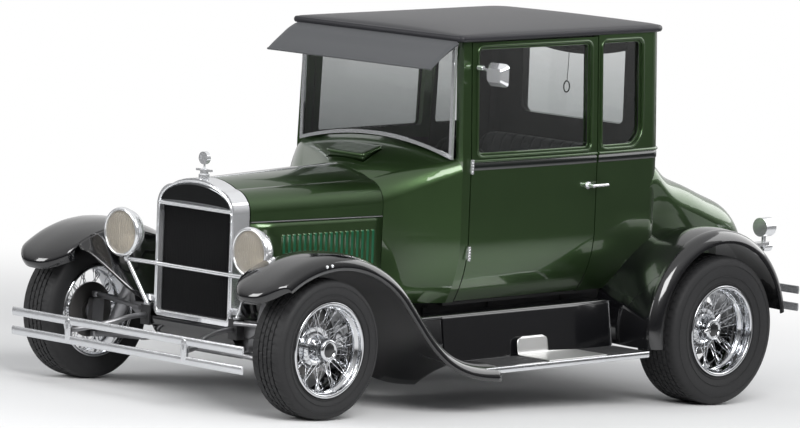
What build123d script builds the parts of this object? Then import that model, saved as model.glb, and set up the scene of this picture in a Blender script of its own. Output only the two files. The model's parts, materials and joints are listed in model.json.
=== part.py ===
from build123d import *
from math import asin, cos, degrees, radians, sin
import os

os.makedirs("parts", exist_ok=True)

# A two-door coupe of the nineteen-twenties rebuilt as a street car, in millimetres.
# Everything on the body is drawn level in the car's own frame: X to the car's left,
# Y rearwards from the front axle, Z up from the ground under the front wheels.
# The finished pieces are then tipped nose down by the rake that the big rear tyres give.

# wheels and stance
WHEELBASE = 2540
FRONT_TYRE_R = 306
FRONT_TYRE_W = 190
FRONT_TYRE_FACE = 824
REAR_TYRE_R = 343
REAR_TYRE_W = 250
REAR_TYRE_FACE = 820
RIM_R = 207.5
RAKE = 2.95
RAKE_SIN = sin(radians(RAKE))
RAKE_COS = cos(radians(RAKE))

# overall lengths, from the front axle in the car's frame
FRONT_BUMPER_Y = -434
REAR_BUMPER_Y = 3150
BUMPER_HALF = 730
BUMPER_T = 10

# body
WALL = 45
GAP = 6
SILL_Z = 396
FULL_Z = 700
BELT_Z = 1035
DOOR_BOTTOM = 401
DOOR_TOP = 1560
BODY_TOP = 1566
HOOD_FRONT = 58
HOOD_REAR = 815
COWL_REAR = 1085
DOOR_FRONT = 1134
DOOR_REAR = 1928
CABIN_REAR = 2385
TAIL_Y = 3085
TUMBLEHOME = 22
WINDOW_SILL = 1062
WINDOW_HEAD = 1532
WINDSHIELD_Y = 1062

# radiator
SHELL_FRONT = -42
SHELL_HALF = 243
GRILLE_HALF = 228
GRILLE_LOW = 362
GRILLE_HIGH = 836

# fenders and boards
LIP_X = 832
SHEET = 5
BOARD_X = 818
BOARD_Z = 158
BOARD_FRONT = 960
BOARD_REAR = 2040

# headlights
LAMP_X = 406
LAMP_Y = -100
LAMP_Z = 690
LAMP_R = 108

# frame rails
RAIL_OUT = 305
RAIL_IN = 250
RAIL_LOW = 292
RAIL_HIGH = 380


def tipped_y(y, z):
    """Where a point of the level body comes to lie along the ground."""
    return y * RAKE_COS - (z - FRONT_TYRE_R) * RAKE_SIN


def in_body(y, z):
    """Where a point of the level wheels lies in the tipped body's own frame."""
    return (y * RAKE_COS + (z - FRONT_TYRE_R) * RAKE_SIN,
            FRONT_TYRE_R - y * RAKE_SIN + (z - FRONT_TYRE_R) * RAKE_COS)


FRONT_END = tipped_y(FRONT_BUMPER_Y - BUMPER_T / 2 - 3, 336)
REAR_END = tipped_y(REAR_BUMPER_Y + BUMPER_T / 2 + 3, 260)
FRONT_AXLE_Y = -(FRONT_END + REAR_END) / 2
LEVEL = Location((0, FRONT_AXLE_Y, 0))
IN_PLACE = Location()
TIPPED = Location((0, FRONT_AXLE_Y, FRONT_TYRE_R), (RAKE, 0, 0)) * Location((0, 0, -FRONT_TYRE_R))


def finish(piece, node, stance=TIPPED):
    """Put a finished piece in the car's stance, label it and write it."""
    piece.part = piece.part.moved(stance)
    piece.part.label = node
    export_step(piece.part, f"parts/{node}.step")


def finish_pair(piece, node, stance=TIPPED):
    """Write a left-hand piece and its mirror image on the right."""
    with BuildPart() as other:
        mirror(piece.part, about=Plane.YZ)
    finish(piece, f"{node}_left", stance)
    finish(other, f"{node}_right", stance)


def across(y):
    """The upright plane across the car at y, its own y axis pointing up."""
    return Plane(origin=(0, y, 0), x_dir=(1, 0, 0), z_dir=(0, -1, 0))


def along(x):
    """The upright plane along the car at x: its own x runs rearwards, its y up."""
    return Plane.YZ.offset(x)


def block(x, y, z, mode=Mode.ADD):
    """A box from (low, high) pairs along each axis."""
    with Locations(((x[0] + x[1]) / 2, (y[0] + y[1]) / 2, (z[0] + z[1]) / 2)):
        Box(x[1] - x[0], y[1] - y[0], z[1] - z[0], mode=mode)


def rod(start, end, radius, mode=Mode.ADD):
    """A round bar between two points."""
    run = Vector(*end) - Vector(*start)
    with BuildSketch(Plane(origin=start, z_dir=run)) as round_end:
        Circle(radius)
    extrude(round_end.sketch, amount=run.length, mode=mode)


# columns: y, half width at the belt, half width at the sill
CABIN_SECTIONS = (
    (COWL_REAR, 524, 445),
    (1500, 546, 450),
    (1930, 552, 450),
    (CABIN_REAR, 534, 440),
)


def cabin_form(inset, drop=0):
    """The cabin as a solid: slightly bowed sides, turned under below, leaning in above."""
    with BuildPart() as form:
        for y, side, foot in CABIN_SECTIONS:
            if y == CABIN_REAR:
                y = y - inset
            half, toe = side - inset, foot - inset
            with BuildSketch(across(y)):
                with BuildLine():
                    roof = half - TUMBLEHOME
                    low = SILL_Z - drop
                    Polyline((toe, low), (-toe, low))
                    ThreePointArc((-toe, low), (-half + (half - toe) * 0.22, 545), (-half, FULL_Z))
                    Polyline((-half, FULL_Z), (-half, BELT_Z), (-roof, BODY_TOP + drop))
                    Line((-roof, BODY_TOP + drop), (roof, BODY_TOP + drop))
                    Polyline((roof, BODY_TOP + drop), (half, BELT_Z), (half, FULL_Z))
                    ThreePointArc((half, FULL_Z), (half - (half - toe) * 0.22, 545), (toe, low))
                make_face()
        loft()
        corners = [e for e in form.part.edges() if e.bounding_box().size.Z > 150
                   and e.center().Y > CABIN_REAR - inset - 12 and abs(e.center().X) > 300]
        fillet(corners, 85 - inset * 0.9)
    return form.part


# columns: y, side, foot, side top, shoulder x, shoulder z, crown
DECK_SECTIONS = (
    (2300, 541, 444, 860, 405, 988, 1004),
    (2385, 534, 440, 850, 400, 980, 998),
    (2450, 530, 436, 800, 394, 925, 942),
    (2600, 520, 428, 730, 385, 858, 877),
    (2780, 503, 414, 665, 368, 795, 815),
    (2930, 484, 400, 610, 350, 742, 760),
    (3030, 462, 384, 535, 332, 665, 680),
    (TAIL_Y, 438, 366, 440, 312, 560, 572),
)


def deck_form(inset, low=SILL_Z):
    """The tail as a solid: it sweeps down from the cabin in a hollow, then rounds over."""
    with BuildPart() as form:
        for y, side, foot, side_top, shoulder, height, crown in DECK_SECTIONS:
            side, foot, height, crown = side - inset, foot - inset, height - inset, crown - inset
            shoulder = shoulder - inset / 2
            if y == TAIL_Y:
                y = y - inset
            with BuildSketch(across(y)):
                with BuildLine():
                    bend = (side + shoulder) / 2 + (side - shoulder) * 0.2
                    rise = (side_top + height) / 2 + (height - side_top) * 0.2
                    Line((foot, low), (-foot, low))
                    Line((-foot, low), (-side, side_top))
                    ThreePointArc((-side, side_top), (-bend, rise), (-shoulder, height))
                    ThreePointArc((-shoulder, height), (0, crown), (shoulder, height))
                    ThreePointArc((shoulder, height), (bend, rise), (side, side_top))
                    Line((side, side_top), (foot, low))
                make_face()
        loft()
    return form.part


# columns: y, side, foot, side top, shoulder x, shoulder z, crown
COWL_SECTIONS = (
    (HOOD_REAR, 305, 298, 830, 215, 942, 988),
    (950, 425, 375, 905, 345, 1000, 1045),
    (COWL_REAR, 524, 445, 975, 472, 1042, 1097),
)


def cowl_form(inset, low=SILL_Z):
    """The cowl as a solid: it swells from the hood's width to the doors'."""
    with BuildPart() as form:
        for y, side, foot, side_top, shoulder, height, crown in COWL_SECTIONS:
            side, foot, shoulder = side - inset, foot - inset, shoulder - inset / 2
            height, crown = height - inset, crown - inset
            side_top = side_top - inset / 2
            with BuildSketch(across(y)):
                with BuildLine():
                    bend = (side + shoulder) / 2 + (side - shoulder) * 0.2
                    rise = (side_top + height) / 2 + (height - side_top) * 0.2
                    hip = side - (side - foot) * 0.22
                    Line((foot, low), (-foot, low))
                    ThreePointArc((-foot, low), (-hip, 545), (-side, FULL_Z))
                    Line((-side, FULL_Z), (-side, side_top))
                    ThreePointArc((-side, side_top), (-bend, rise), (-shoulder, height))
                    ThreePointArc((-shoulder, height), (0, crown), (shoulder, height))
                    ThreePointArc((shoulder, height), (bend, rise), (side, side_top))
                    Line((side, side_top), (side, FULL_Z))
                    ThreePointArc((side, FULL_Z), (hip, 545), (foot, low))
                make_face()
        loft()
    return form.part


CABIN_OUTSIDE = cabin_form(0)
CABIN_INSIDE = cabin_form(WALL, drop=60)
DECK_OUTSIDE = deck_form(0)
DECK_INSIDE = deck_form(22, low=SILL_Z - 40)


def side_window(front, rear, low, high, corners, mode=Mode.SUBTRACT):
    """A window opening through both side walls, with a radius for each pair of corners."""
    with BuildSketch(along(-700)) as opening:
        with BuildLine():
            FilletPolyline((front, low), (rear, low), (rear, high), (front, high),
                           radius=corners, close=True)
        make_face()
    extrude(opening.sketch, amount=1400, mode=mode)


# body shell behind the doors: quarters, rear wall, tail, and the decklid's opening
LID_FRONT = 2478
LID_HALF = 368
LID_LOW = 545
REAR_WINDOW = (320, 1122, 1478)

with BuildPart() as lid_cut:
    block((-LID_HALF - GAP / 2, LID_HALF + GAP / 2), (LID_FRONT - GAP / 2, 3300), (LID_LOW - GAP, 1100))
    fillet(lid_cut.edges().filter_by(Axis.Z).group_by(Axis.Y)[0], 40)

with BuildPart() as hollow:
    add(DECK_INSIDE)
    block((-600, 600), (2200, CABIN_REAR - 20), (300, 1100), mode=Mode.SUBTRACT)

# everything that is cut out of the shell: the doors' room, the windows and the lid
with BuildPart() as openings:
    block((-700, 700), (1000, DOOR_REAR + GAP / 2), (300, 1700))
    side_window(1962, 2226, WINDOW_SILL, WINDOW_HEAD, (24, 84, 24, 24), mode=Mode.ADD)
    half, low, high = REAR_WINDOW
    with BuildSketch(across(2300)) as pane:
        with Locations((0, (low + high) / 2)):
            RectangleRounded(2 * half, high - low, 28)
    extrude(pane.sketch, amount=-120)
    add(lid_cut.part)

with BuildPart() as decklid:
    with BuildPart(mode=Mode.PRIVATE) as lid_room:
        block((-LID_HALF + GAP / 2, LID_HALF - GAP / 2), (LID_FRONT + GAP / 2, 3300), (LID_LOW, 1100))
        fillet(lid_room.edges().filter_by(Axis.Z).group_by(Axis.Y)[0], 36)
    add(DECK_OUTSIDE.moved(TIPPED))
    add(DECK_INSIDE.moved(TIPPED), mode=Mode.SUBTRACT)
    add(lid_room.part.moved(TIPPED), mode=Mode.INTERSECT)
finish(decklid, "decklid", IN_PLACE)

# window glass, a curved band inside the cabin walls
with BuildPart() as glass_band:
    add(cabin_form(18))
    add(cabin_form(22, drop=60), mode=Mode.SUBTRACT)
PANE_LAP = 8
PANE_Z = (WINDOW_SILL - PANE_LAP, WINDOW_HEAD + PANE_LAP)

with BuildPart() as door_glass:
    add(glass_band.part)
    block((300, 700), (1180 - PANE_LAP, 1876 + PANE_LAP), PANE_Z, mode=Mode.INTERSECT)

# doors, cut from the same walls as the body beside them
with BuildPart() as door:
    add(CABIN_OUTSIDE)
    add(CABIN_INSIDE, mode=Mode.SUBTRACT)
    block((300, 700), (DOOR_FRONT + GAP / 2, DOOR_REAR - GAP / 2), (DOOR_BOTTOM, DOOR_TOP),
          mode=Mode.INTERSECT)
    side_window(1180, 1876, WINDOW_SILL, WINDOW_HEAD, (22, 22, 22, 22))
    add(door_glass.part, mode=Mode.SUBTRACT)

# door handle: a post and a lever pointing rearwards
HANDLE_Z = 892
with BuildPart() as door_handle:
    rod((545, 1872, HANDLE_Z), (592, 1872, HANDLE_Z), 9)
    rod((588, 1866, HANDLE_Z), (588, 1968, HANDLE_Z), 7)
    rod((549, 1872, HANDLE_Z), (557, 1872, HANDLE_Z), 17)
    add(CABIN_OUTSIDE, mode=Mode.SUBTRACT)
finish_pair(door, "door")
finish_pair(door_glass, "door_glass")
finish_pair(door_handle, "door_handle")

with BuildPart() as quarter_pane:
    add(glass_band.part)
    block((300, 700), (1962 - PANE_LAP, 2226 + PANE_LAP), PANE_Z, mode=Mode.INTERSECT)
half, low, high = REAR_WINDOW
with BuildPart() as rear_glass:
    add(quarter_pane.part)
    mirror(quarter_pane.part, about=Plane.YZ)
    block((-half - PANE_LAP, half + PANE_LAP), (2360, 2364), (low - PANE_LAP, high + PANE_LAP))
finish(rear_glass, "rear_glass")
with BuildPart() as rear_body:
    add(CABIN_OUTSIDE.moved(TIPPED))
    add(DECK_OUTSIDE.moved(TIPPED))
    for cut in (CABIN_INSIDE, hollow.part, openings.part):
        add(cut.moved(TIPPED), mode=Mode.SUBTRACT)
    add(rear_glass.part, mode=Mode.SUBTRACT)
finish(rear_body, "rear_body", IN_PLACE)

# cowl with the windshield posts
VENT = ((-118, 118), (868, 986))
with BuildPart() as cowl:
    add(cowl_form(0))
    with BuildPart(mode=Mode.PRIVATE) as posts:
        add(CABIN_OUTSIDE)
        add(CABIN_INSIDE, mode=Mode.SUBTRACT)
        block((-700, 700), (COWL_REAR - 10, DOOR_FRONT - GAP / 2), (SILL_Z, BODY_TOP),
              mode=Mode.INTERSECT)
    add(posts.part)
    with BuildPart(mode=Mode.PRIVATE) as inner:
        add(cowl_form(30, low=SILL_Z - 40))
        block((-700, 700), (HOOD_REAR - 5, HOOD_REAR + 22), (300, 1100), mode=Mode.SUBTRACT)
    add(inner.part, mode=Mode.SUBTRACT)
    block(VENT[0], VENT[1], (960, 1200), mode=Mode.SUBTRACT)
finish(cowl, "cowl")

# cowl vent lid, standing a little open on its rear hinge
VENT_HINGE = (988, 1068)
with BuildPart() as cowl_vent:
    with BuildSketch(along(-125)):
        with BuildLine():
            Polyline((985, 1068), (985, 1072), (858, 1040), (858, 1036), close=True)
        make_face()
    extrude(amount=250)
    rod((-110, 988, 1069), (110, 988, 1069), 3.5)
finish(cowl_vent, "cowl_vent")

# windshield: a bright frame standing on the cowl, and its glass
with BuildPart() as windshield_frame:
    with BuildSketch(across(WINDSHIELD_Y + 8)):
        with BuildLine():
            Polyline((-478, 1040), (-478, 1556), (478, 1556), (478, 1040))
            ThreePointArc((478, 1040), (0, 1106), (-478, 1040))
        make_face()
        with BuildLine():
            Polyline((-462, 1060), (-462, 1540), (462, 1540), (462, 1060))
            ThreePointArc((462, 1060), (0, 1122), (-462, 1060))
        make_face(mode=Mode.SUBTRACT)
    extrude(amount=16)
    add(cowl.part, mode=Mode.SUBTRACT)
with BuildPart() as windshield_glass:
    with BuildSketch(across(WINDSHIELD_Y + 2)):
        with BuildLine():
            Polyline((-462, 1060), (-462, 1540), (462, 1540), (462, 1060))
            ThreePointArc((462, 1060), (0, 1122), (-462, 1060))
        make_face()
    extrude(amount=4)
finish(windshield_frame, "windshield_frame")
finish(windshield_glass, "windshield_glass")

# roof: a padded cover with rolled edges on a slatted deck
ROOF_HALF = 540
ROOF_FRONT = 1034
ROOF_REAR = 2398
ROOF_CROWN = 1614
with BuildPart() as roof:
    with BuildSketch(across(ROOF_FRONT)):
        with BuildLine():
            Polyline((-ROOF_HALF, 1592), (-ROOF_HALF, BODY_TOP), (ROOF_HALF, BODY_TOP), (ROOF_HALF, 1592))
            ThreePointArc((ROOF_HALF, 1592), (0, ROOF_CROWN), (-ROOF_HALF, 1592))
        make_face()
    extrude(amount=ROOF_FRONT - ROOF_REAR)
    fillet(roof.edges().filter_by(Axis.Z).group_by(Axis.Y)[-1], 84)
    fillet(roof.edges().filter_by(Axis.Z).group_by(Axis.Y)[0], 20)
    fillet(roof.faces().sort_by(Axis.Z)[-1].edges(), 16)
    block((-430, 430), (1100, 2300), (1500, 1580), mode=Mode.SUBTRACT)
finish(roof, "roof")

# sun visor on two brackets ahead of the windshield
with BuildPart() as visor:
    with BuildSketch(along(-516)):
        with BuildLine():
            ThreePointArc((1030, 1562), (952, 1517), (866, 1455))
            Line((866, 1455), (873, 1445))
            ThreePointArc((873, 1445), (958, 1506), (1036, 1550))
            Line((1036, 1550), (1030, 1562))
        make_face()
    extrude(amount=1032)
    for x in (-500, 488):
        block((x, x + 12), (1018, 1050), (1540, 1554))
finish(visor, "visor")

# frame: two channel rails with jacking pads, cross members, a hitch plate at the tail and the
# brackets that carry the boards
FRAME_FRONT = -62
FRAME_REAR = 3000
JACK_PAD = (1370, 1430)
JACK_PAD_T = 6
HITCH_Y = 3030
HITCH_Z = (322, 332)
HITCH_R = 12.5
with BuildPart() as frame:
    for side in (-1, 1):
        rail = sorted((side * RAIL_IN, side * RAIL_OUT))
        inner = sorted((side * (RAIL_IN - 10), side * (RAIL_OUT - SHEET)))
        block(rail, (FRAME_FRONT, FRAME_REAR), (RAIL_LOW, RAIL_HIGH))
        block(inner, (FRAME_FRONT + 10, FRAME_REAR - 10), (RAIL_LOW + SHEET, RAIL_HIGH - SHEET),
              mode=Mode.SUBTRACT)
        for y in (1080, 1500, 1980):
            block(sorted((side * (RAIL_OUT - 4), side * 800)), (y, y + 36), (BOARD_Z - 26, BOARD_Z - 12))
            block(sorted((side * (RAIL_OUT - 4), side * (RAIL_OUT + 8))), (y, y + 36),
                  (BOARD_Z - 26, RAIL_HIGH - 20))
        block(rail, JACK_PAD, (RAIL_LOW - JACK_PAD_T, RAIL_LOW))
    for y, width, low, high in ((-20, 90, 300, 338), (1180, 60, 320, 375), (2220, 60, 320, 375),
                                (2900, 70, 320, 375)):
        block((-RAIL_OUT + SHEET, RAIL_OUT - SHEET), (y, y + width), (low, high))
    block((-60, 60), (2960, HITCH_Y + 30), HITCH_Z)
    rod((0, HITCH_Y, HITCH_Z[0]), (0, HITCH_Y, HITCH_Z[1]), HITCH_R, mode=Mode.SUBTRACT)
finish(frame, "frame")

# cabin floor with its sills, and the boot floor behind the seat
with BuildPart() as floor:
    block((-290, 290), (840, 1090), (RAIL_HIGH + 1, SILL_Z - 2))
    block((-425, 425), (1090, 2330), (RAIL_HIGH + 1, SILL_Z - 2))
    block((-260, 260), (840, 1090), (SILL_Z - 2, 412))
    block((-392, 392), (1090, 2330), (SILL_Z - 2, 412))
    block((-340, 340), (2330, 3040), (RAIL_HIGH + 1, SILL_Z - 1))
    block((-120, 120), (840, 1500), (380, 430))
    block((-84, 84), (830, 1510), (370, 408), mode=Mode.SUBTRACT)
finish(floor, "floor")

# dashboard across the cowl
with BuildPart() as dashboard:
    with BuildSketch(along(-466)):
        with BuildLine():
            FilletPolyline((1100, 1020), (1128, 1028), (1140, 1010), (1134, 862), (1118, 862), (1100, 900),
                           radius=(6, 8, 8, 6, 6, 6), close=True)
        make_face()
    extrude(amount=932)
finish(dashboard, "dashboard")

# steering column, in front of the driver on the left
COLUMN_X = 235
COLUMN_TOP = (COLUMN_X, 1420, 948)
COLUMN_LOW = (COLUMN_X, 862, 606.4)
with BuildPart() as steering_column:
    rod(COLUMN_LOW, (COLUMN_X, 1396, 933.3), 21)
finish(steering_column, "steering_column")

COLUMN_DIR = Vector(*COLUMN_TOP) - Vector(*COLUMN_LOW)
with BuildPart() as steering_wheel:
    wheel_plane = Plane(origin=COLUMN_TOP, x_dir=(1, 0, 0), z_dir=COLUMN_DIR)
    with BuildSketch(Plane(origin=wheel_plane.origin, x_dir=(1, 0, 0), z_dir=wheel_plane.y_dir)):
        with Locations((172, 0)):
            Circle(13)
    revolve(axis=Axis(wheel_plane.origin, wheel_plane.z_dir))
    with BuildSketch(wheel_plane.offset(-16)):
        Circle(34)
    extrude(amount=26)
    with BuildSketch(wheel_plane.offset(-6)):
        for turn in (90, 210, 330):
            with Locations(Location((0, 0, 0), turn)):
                with Locations((95, 0)):
                    Rectangle(150, 22)
    extrude(amount=8)
finish(steering_wheel, "steering_wheel")

# bench seat
SEAT_HALF = 425
with BuildPart() as seat_cushion:
    with BuildSketch(along(-SEAT_HALF)):
        with BuildLine():
            FilletPolyline((1580, 500), (1572, 636), (2060, 600), (2080, 480), radius=(22, 40, 40, 22),
                           close=True)
        make_face()
    extrude(amount=2 * SEAT_HALF)
with BuildPart() as seat_back:
    with BuildSketch(along(-SEAT_HALF)):
        with BuildLine():
            FilletPolyline((2088, 480), (2066, 605), (2160, 1048), (2262, 1048), (2250, 480),
                           radius=(16, 30, 40, 40, 16), close=True)
        make_face()
    extrude(amount=2 * SEAT_HALF)
finish(seat_cushion, "seat_cushion")
finish(seat_back, "seat_back")

# radiator: a bright shell round a finned core
def shell_outline(half, low, shoulder, crown, foot_r):
    """The shell's outline: square foot, straight sides, rounded shoulders and an arched top."""
    with BuildLine() as outline:
        bend = half * 0.93
        Line((-half + foot_r, low), (half - foot_r, low))
        ThreePointArc((half - foot_r, low), (half - foot_r * 0.29, low + foot_r * 0.29),
                      (half, low + foot_r))
        Line((half, low + foot_r), (half, shoulder))
        ThreePointArc((half, shoulder), (bend, shoulder + (crown - shoulder) * 0.42),
                      (half * 0.62, shoulder + (crown - shoulder) * 0.74))
        ThreePointArc((half * 0.62, shoulder + (crown - shoulder) * 0.74), (0, crown),
                      (-half * 0.62, shoulder + (crown - shoulder) * 0.74))
        ThreePointArc((-half * 0.62, shoulder + (crown - shoulder) * 0.74),
                      (-bend, shoulder + (crown - shoulder) * 0.42), (-half, shoulder))
        Line((-half, shoulder), (-half, low + foot_r))
        ThreePointArc((-half, low + foot_r), (-half + foot_r * 0.29, low + foot_r * 0.29),
                      (-half + foot_r, low))
    return outline.line


with BuildPart() as radiator_shell:
    with BuildSketch(across(SHELL_FRONT)):
        add(shell_outline(SHELL_HALF, 340, 826, 966, 30))
        make_face()
    extrude(amount=SHELL_FRONT - HOOD_FRONT + GAP)
    with BuildSketch(across(SHELL_FRONT - 1)):
        with Locations((0, (GRILLE_LOW + GRILLE_HIGH) / 2)):
            RectangleRounded(2 * GRILLE_HALF, GRILLE_HIGH - GRILLE_LOW, 16)
    extrude(amount=-60, mode=Mode.SUBTRACT)
    with BuildSketch(across(HOOD_FRONT + 1)):
        add(shell_outline(SHELL_HALF - 6, 346, 822, 958, 24))
        make_face()
    extrude(amount=62, mode=Mode.SUBTRACT)
    for side in (-1, 1):
        block(sorted((side * (SHELL_HALF - 2), side * 302)), (-34, 26), (398, 424))
finish(radiator_shell, "radiator_shell")

CORE_T = 34
with BuildPart() as radiator_core:
    block((-GRILLE_HALF - 5, GRILLE_HALF + 5), (-4, -4 + CORE_T), (352, 838))
    with Locations([(x, -4, (GRILLE_LOW + GRILLE_HIGH) / 2) for x in
                    [-220 + 20 * i for i in range(23)]]):
        Box(5, 16, GRILLE_HIGH - GRILLE_LOW - 30, mode=Mode.SUBTRACT)
with BuildPart() as fitted_core:
    add(radiator_core.part)
    add(radiator_shell.part.moved(TIPPED.inverse()), mode=Mode.SUBTRACT)
finish(fitted_core, "radiator_core")

# cap with a winged temperature gauge
with BuildPart() as radiator_cap:
    with BuildSketch(along(0)):
        with BuildLine():
            Polyline((4, 968), (28, 968), (28, 982), (22, 986), (22, 1004), (13, 1008), (8, 1014), (8, 1028),
                     (4, 1030), close=True)
        make_face()
    revolve(axis=Axis((0, 4, 960), (0, 0, 1)))
    block((-46, 46), (-3, 11), (996, 1005))
    with BuildSketch(across(-6)):
        with Locations((0, 1054)):
            Circle(28)
    extrude(amount=-20)
    add(radiator_shell.part.moved(TIPPED.inverse()), mode=Mode.SUBTRACT)
finish(radiator_cap, "radiator_cap")

# black pan closing the front of the frame under the radiator
with BuildPart() as splash_pan:
    with BuildSketch(along(-248)):
        with BuildLine():
            Polyline((-50, 336), (-50, 322))
            ThreePointArc((-50, 322), (-30, 272), (20, 244))
            Polyline((20, 244), (22, 250))
            ThreePointArc((22, 250), (-24, 276), (-43, 322))
            Polyline((-43, 322), (-43, 336), (-50, 336))
        make_face()
    extrude(amount=496)
finish(splash_pan, "splash_pan")

# hood: two tops on a centre hinge, each with a louvred side hung from its edge
HOOD_T = 4
HINGE_FRONT_Z = 793
HINGE_REAR_Z = 786
HOOD_Y = (HOOD_FRONT + 2, HOOD_REAR - 4)
# columns: y, side, side top, shoulder x, shoulder z, crown
HOOD_SECTIONS = (
    (HOOD_Y[0], SHELL_HALF - 1, HINGE_FRONT_Z + 3, 826, 150, 929, 965),
    (HOOD_Y[1], 305, HINGE_REAR_Z + 3, 830, 215, 942, 988),
)


def hood_top(sign):
    """One half of the hood's top, a bent sheet from the centre hinge to the side hinge."""
    with BuildPart() as panel:
        for y, side, edge, side_top, shoulder, height, crown in HOOD_SECTIONS:
            with BuildSketch(across(y)):
                with BuildLine():
                    t = HOOD_T
                    bend = (side + shoulder) / 2 + (side - shoulder) * 0.2
                    rise = (side_top + height) / 2 + (height - side_top) * 0.2
                    mid = shoulder / 2
                    top = height + (crown - height) * 0.78
                    Line((sign * side, edge), (sign * side, side_top))
                    ThreePointArc((sign * side, side_top), (sign * bend, rise), (sign * shoulder, height))
                    ThreePointArc((sign * shoulder, height), (sign * mid, top), (sign * 5, crown))
                    Line((sign * 5, crown), (sign * 5, crown - t))
                    ThreePointArc((sign * 5, crown - t), (sign * mid, top - t),
                                  (sign * (shoulder - 1), height - t))
                    ThreePointArc((sign * (shoulder - 1), height - t),
                                  (sign * (bend - t * 0.75), rise - t * 0.66),
                                  (sign * (side - t), side_top))
                    Polyline((sign * (side - t), side_top), (sign * (side - t), edge), (sign * side, edge))
                make_face()
        loft(ruled=True)
    return panel


LOUVRES = 18
LOUVRE_PITCH = 30


def hood_side():
    """One side of the hood: a flat sheet with a bank of pressed louvres."""
    skin = SHELL_HALF - 1
    run = HOOD_Y[1] - HOOD_Y[0]
    spread = 305 - skin
    slope = degrees(asin(spread / run))
    side = Plane(origin=(skin, HOOD_Y[0], 0), x_dir=(spread, run, 0), z_dir=(run, -spread, 0))
    length = run / cos(radians(slope))
    with BuildPart() as panel:
        with BuildSketch(side.offset(-HOOD_T)):
            with BuildLine():
                Polyline((0, 400), (length, 400), (length, HINGE_REAR_Z - 3), (0, HINGE_FRONT_Z - 3),
                         close=True)
            make_face()
        extrude(amount=HOOD_T)
        for i in range(LOUVRES):
            x = length - 52 - i * LOUVRE_PITCH
            with BuildSketch(side.offset(-HOOD_T)):
                with Locations((x, 637)):
                    Rectangle(7, 184)
            extrude(amount=HOOD_T, mode=Mode.SUBTRACT)
            with BuildSketch(side):
                with Locations((x - 9, 637)):
                    Rectangle(12, 190)
            extrude(amount=8)
    return panel


for sign, name in ((1, "left"), (-1, "right")):
    top = hood_top(sign)
    finish(top, f"hood_top_{name}")
side_panel = hood_side()
finish_pair(side_panel, "hood_side")

# the apron between the boards and the sills, which leans in as it rises
APRON_Z = 358
APRON_TOP_X = 549
BOARD_INNER_X = 580

# front fenders: a crowned blade swept over the wheel and down to the running board
FENDER_CURVE = ((-380, 585), (-40, 728), (480, 519))
FENDER_KNEE = (600, 380)
FENDER_FOOT_Y = 1062
FENDER_FOOT_Z = 166
APRON_LOW = (312, 386)
APRON_HIGH = (470, 660)


def blade_section(inner_x, inner_drop, lip):
    """The blade across the car: rolled lip, shoulder, crown, and a fall to its inner edge."""
    with BuildSketch(Plane.XY) as section:
        with BuildLine():
            Line((LIP_X, -lip), (LIP_X, -48))
            ThreePointArc((LIP_X, -48), (LIP_X - 18, -16), (LIP_X - 60, -2))
            ThreePointArc((LIP_X - 60, -2), (690, 3), (600, -8))
            Line((600, -8), (inner_x, -inner_drop))
            Line((inner_x, -inner_drop), (inner_x, -inner_drop - SHEET))
            Line((inner_x, -inner_drop - SHEET), (600, -8 - SHEET))
            ThreePointArc((600, -8 - SHEET), (690, 3 - SHEET), (LIP_X - 60, -2 - SHEET))
            ThreePointArc((LIP_X - 60, -2 - SHEET), (LIP_X - 21.5, -19.5), (LIP_X - SHEET, -48))
            Polyline((LIP_X - SHEET, -48), (LIP_X - SHEET, -lip), (LIP_X, -lip))
        make_face()
    return section.sketch


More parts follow.
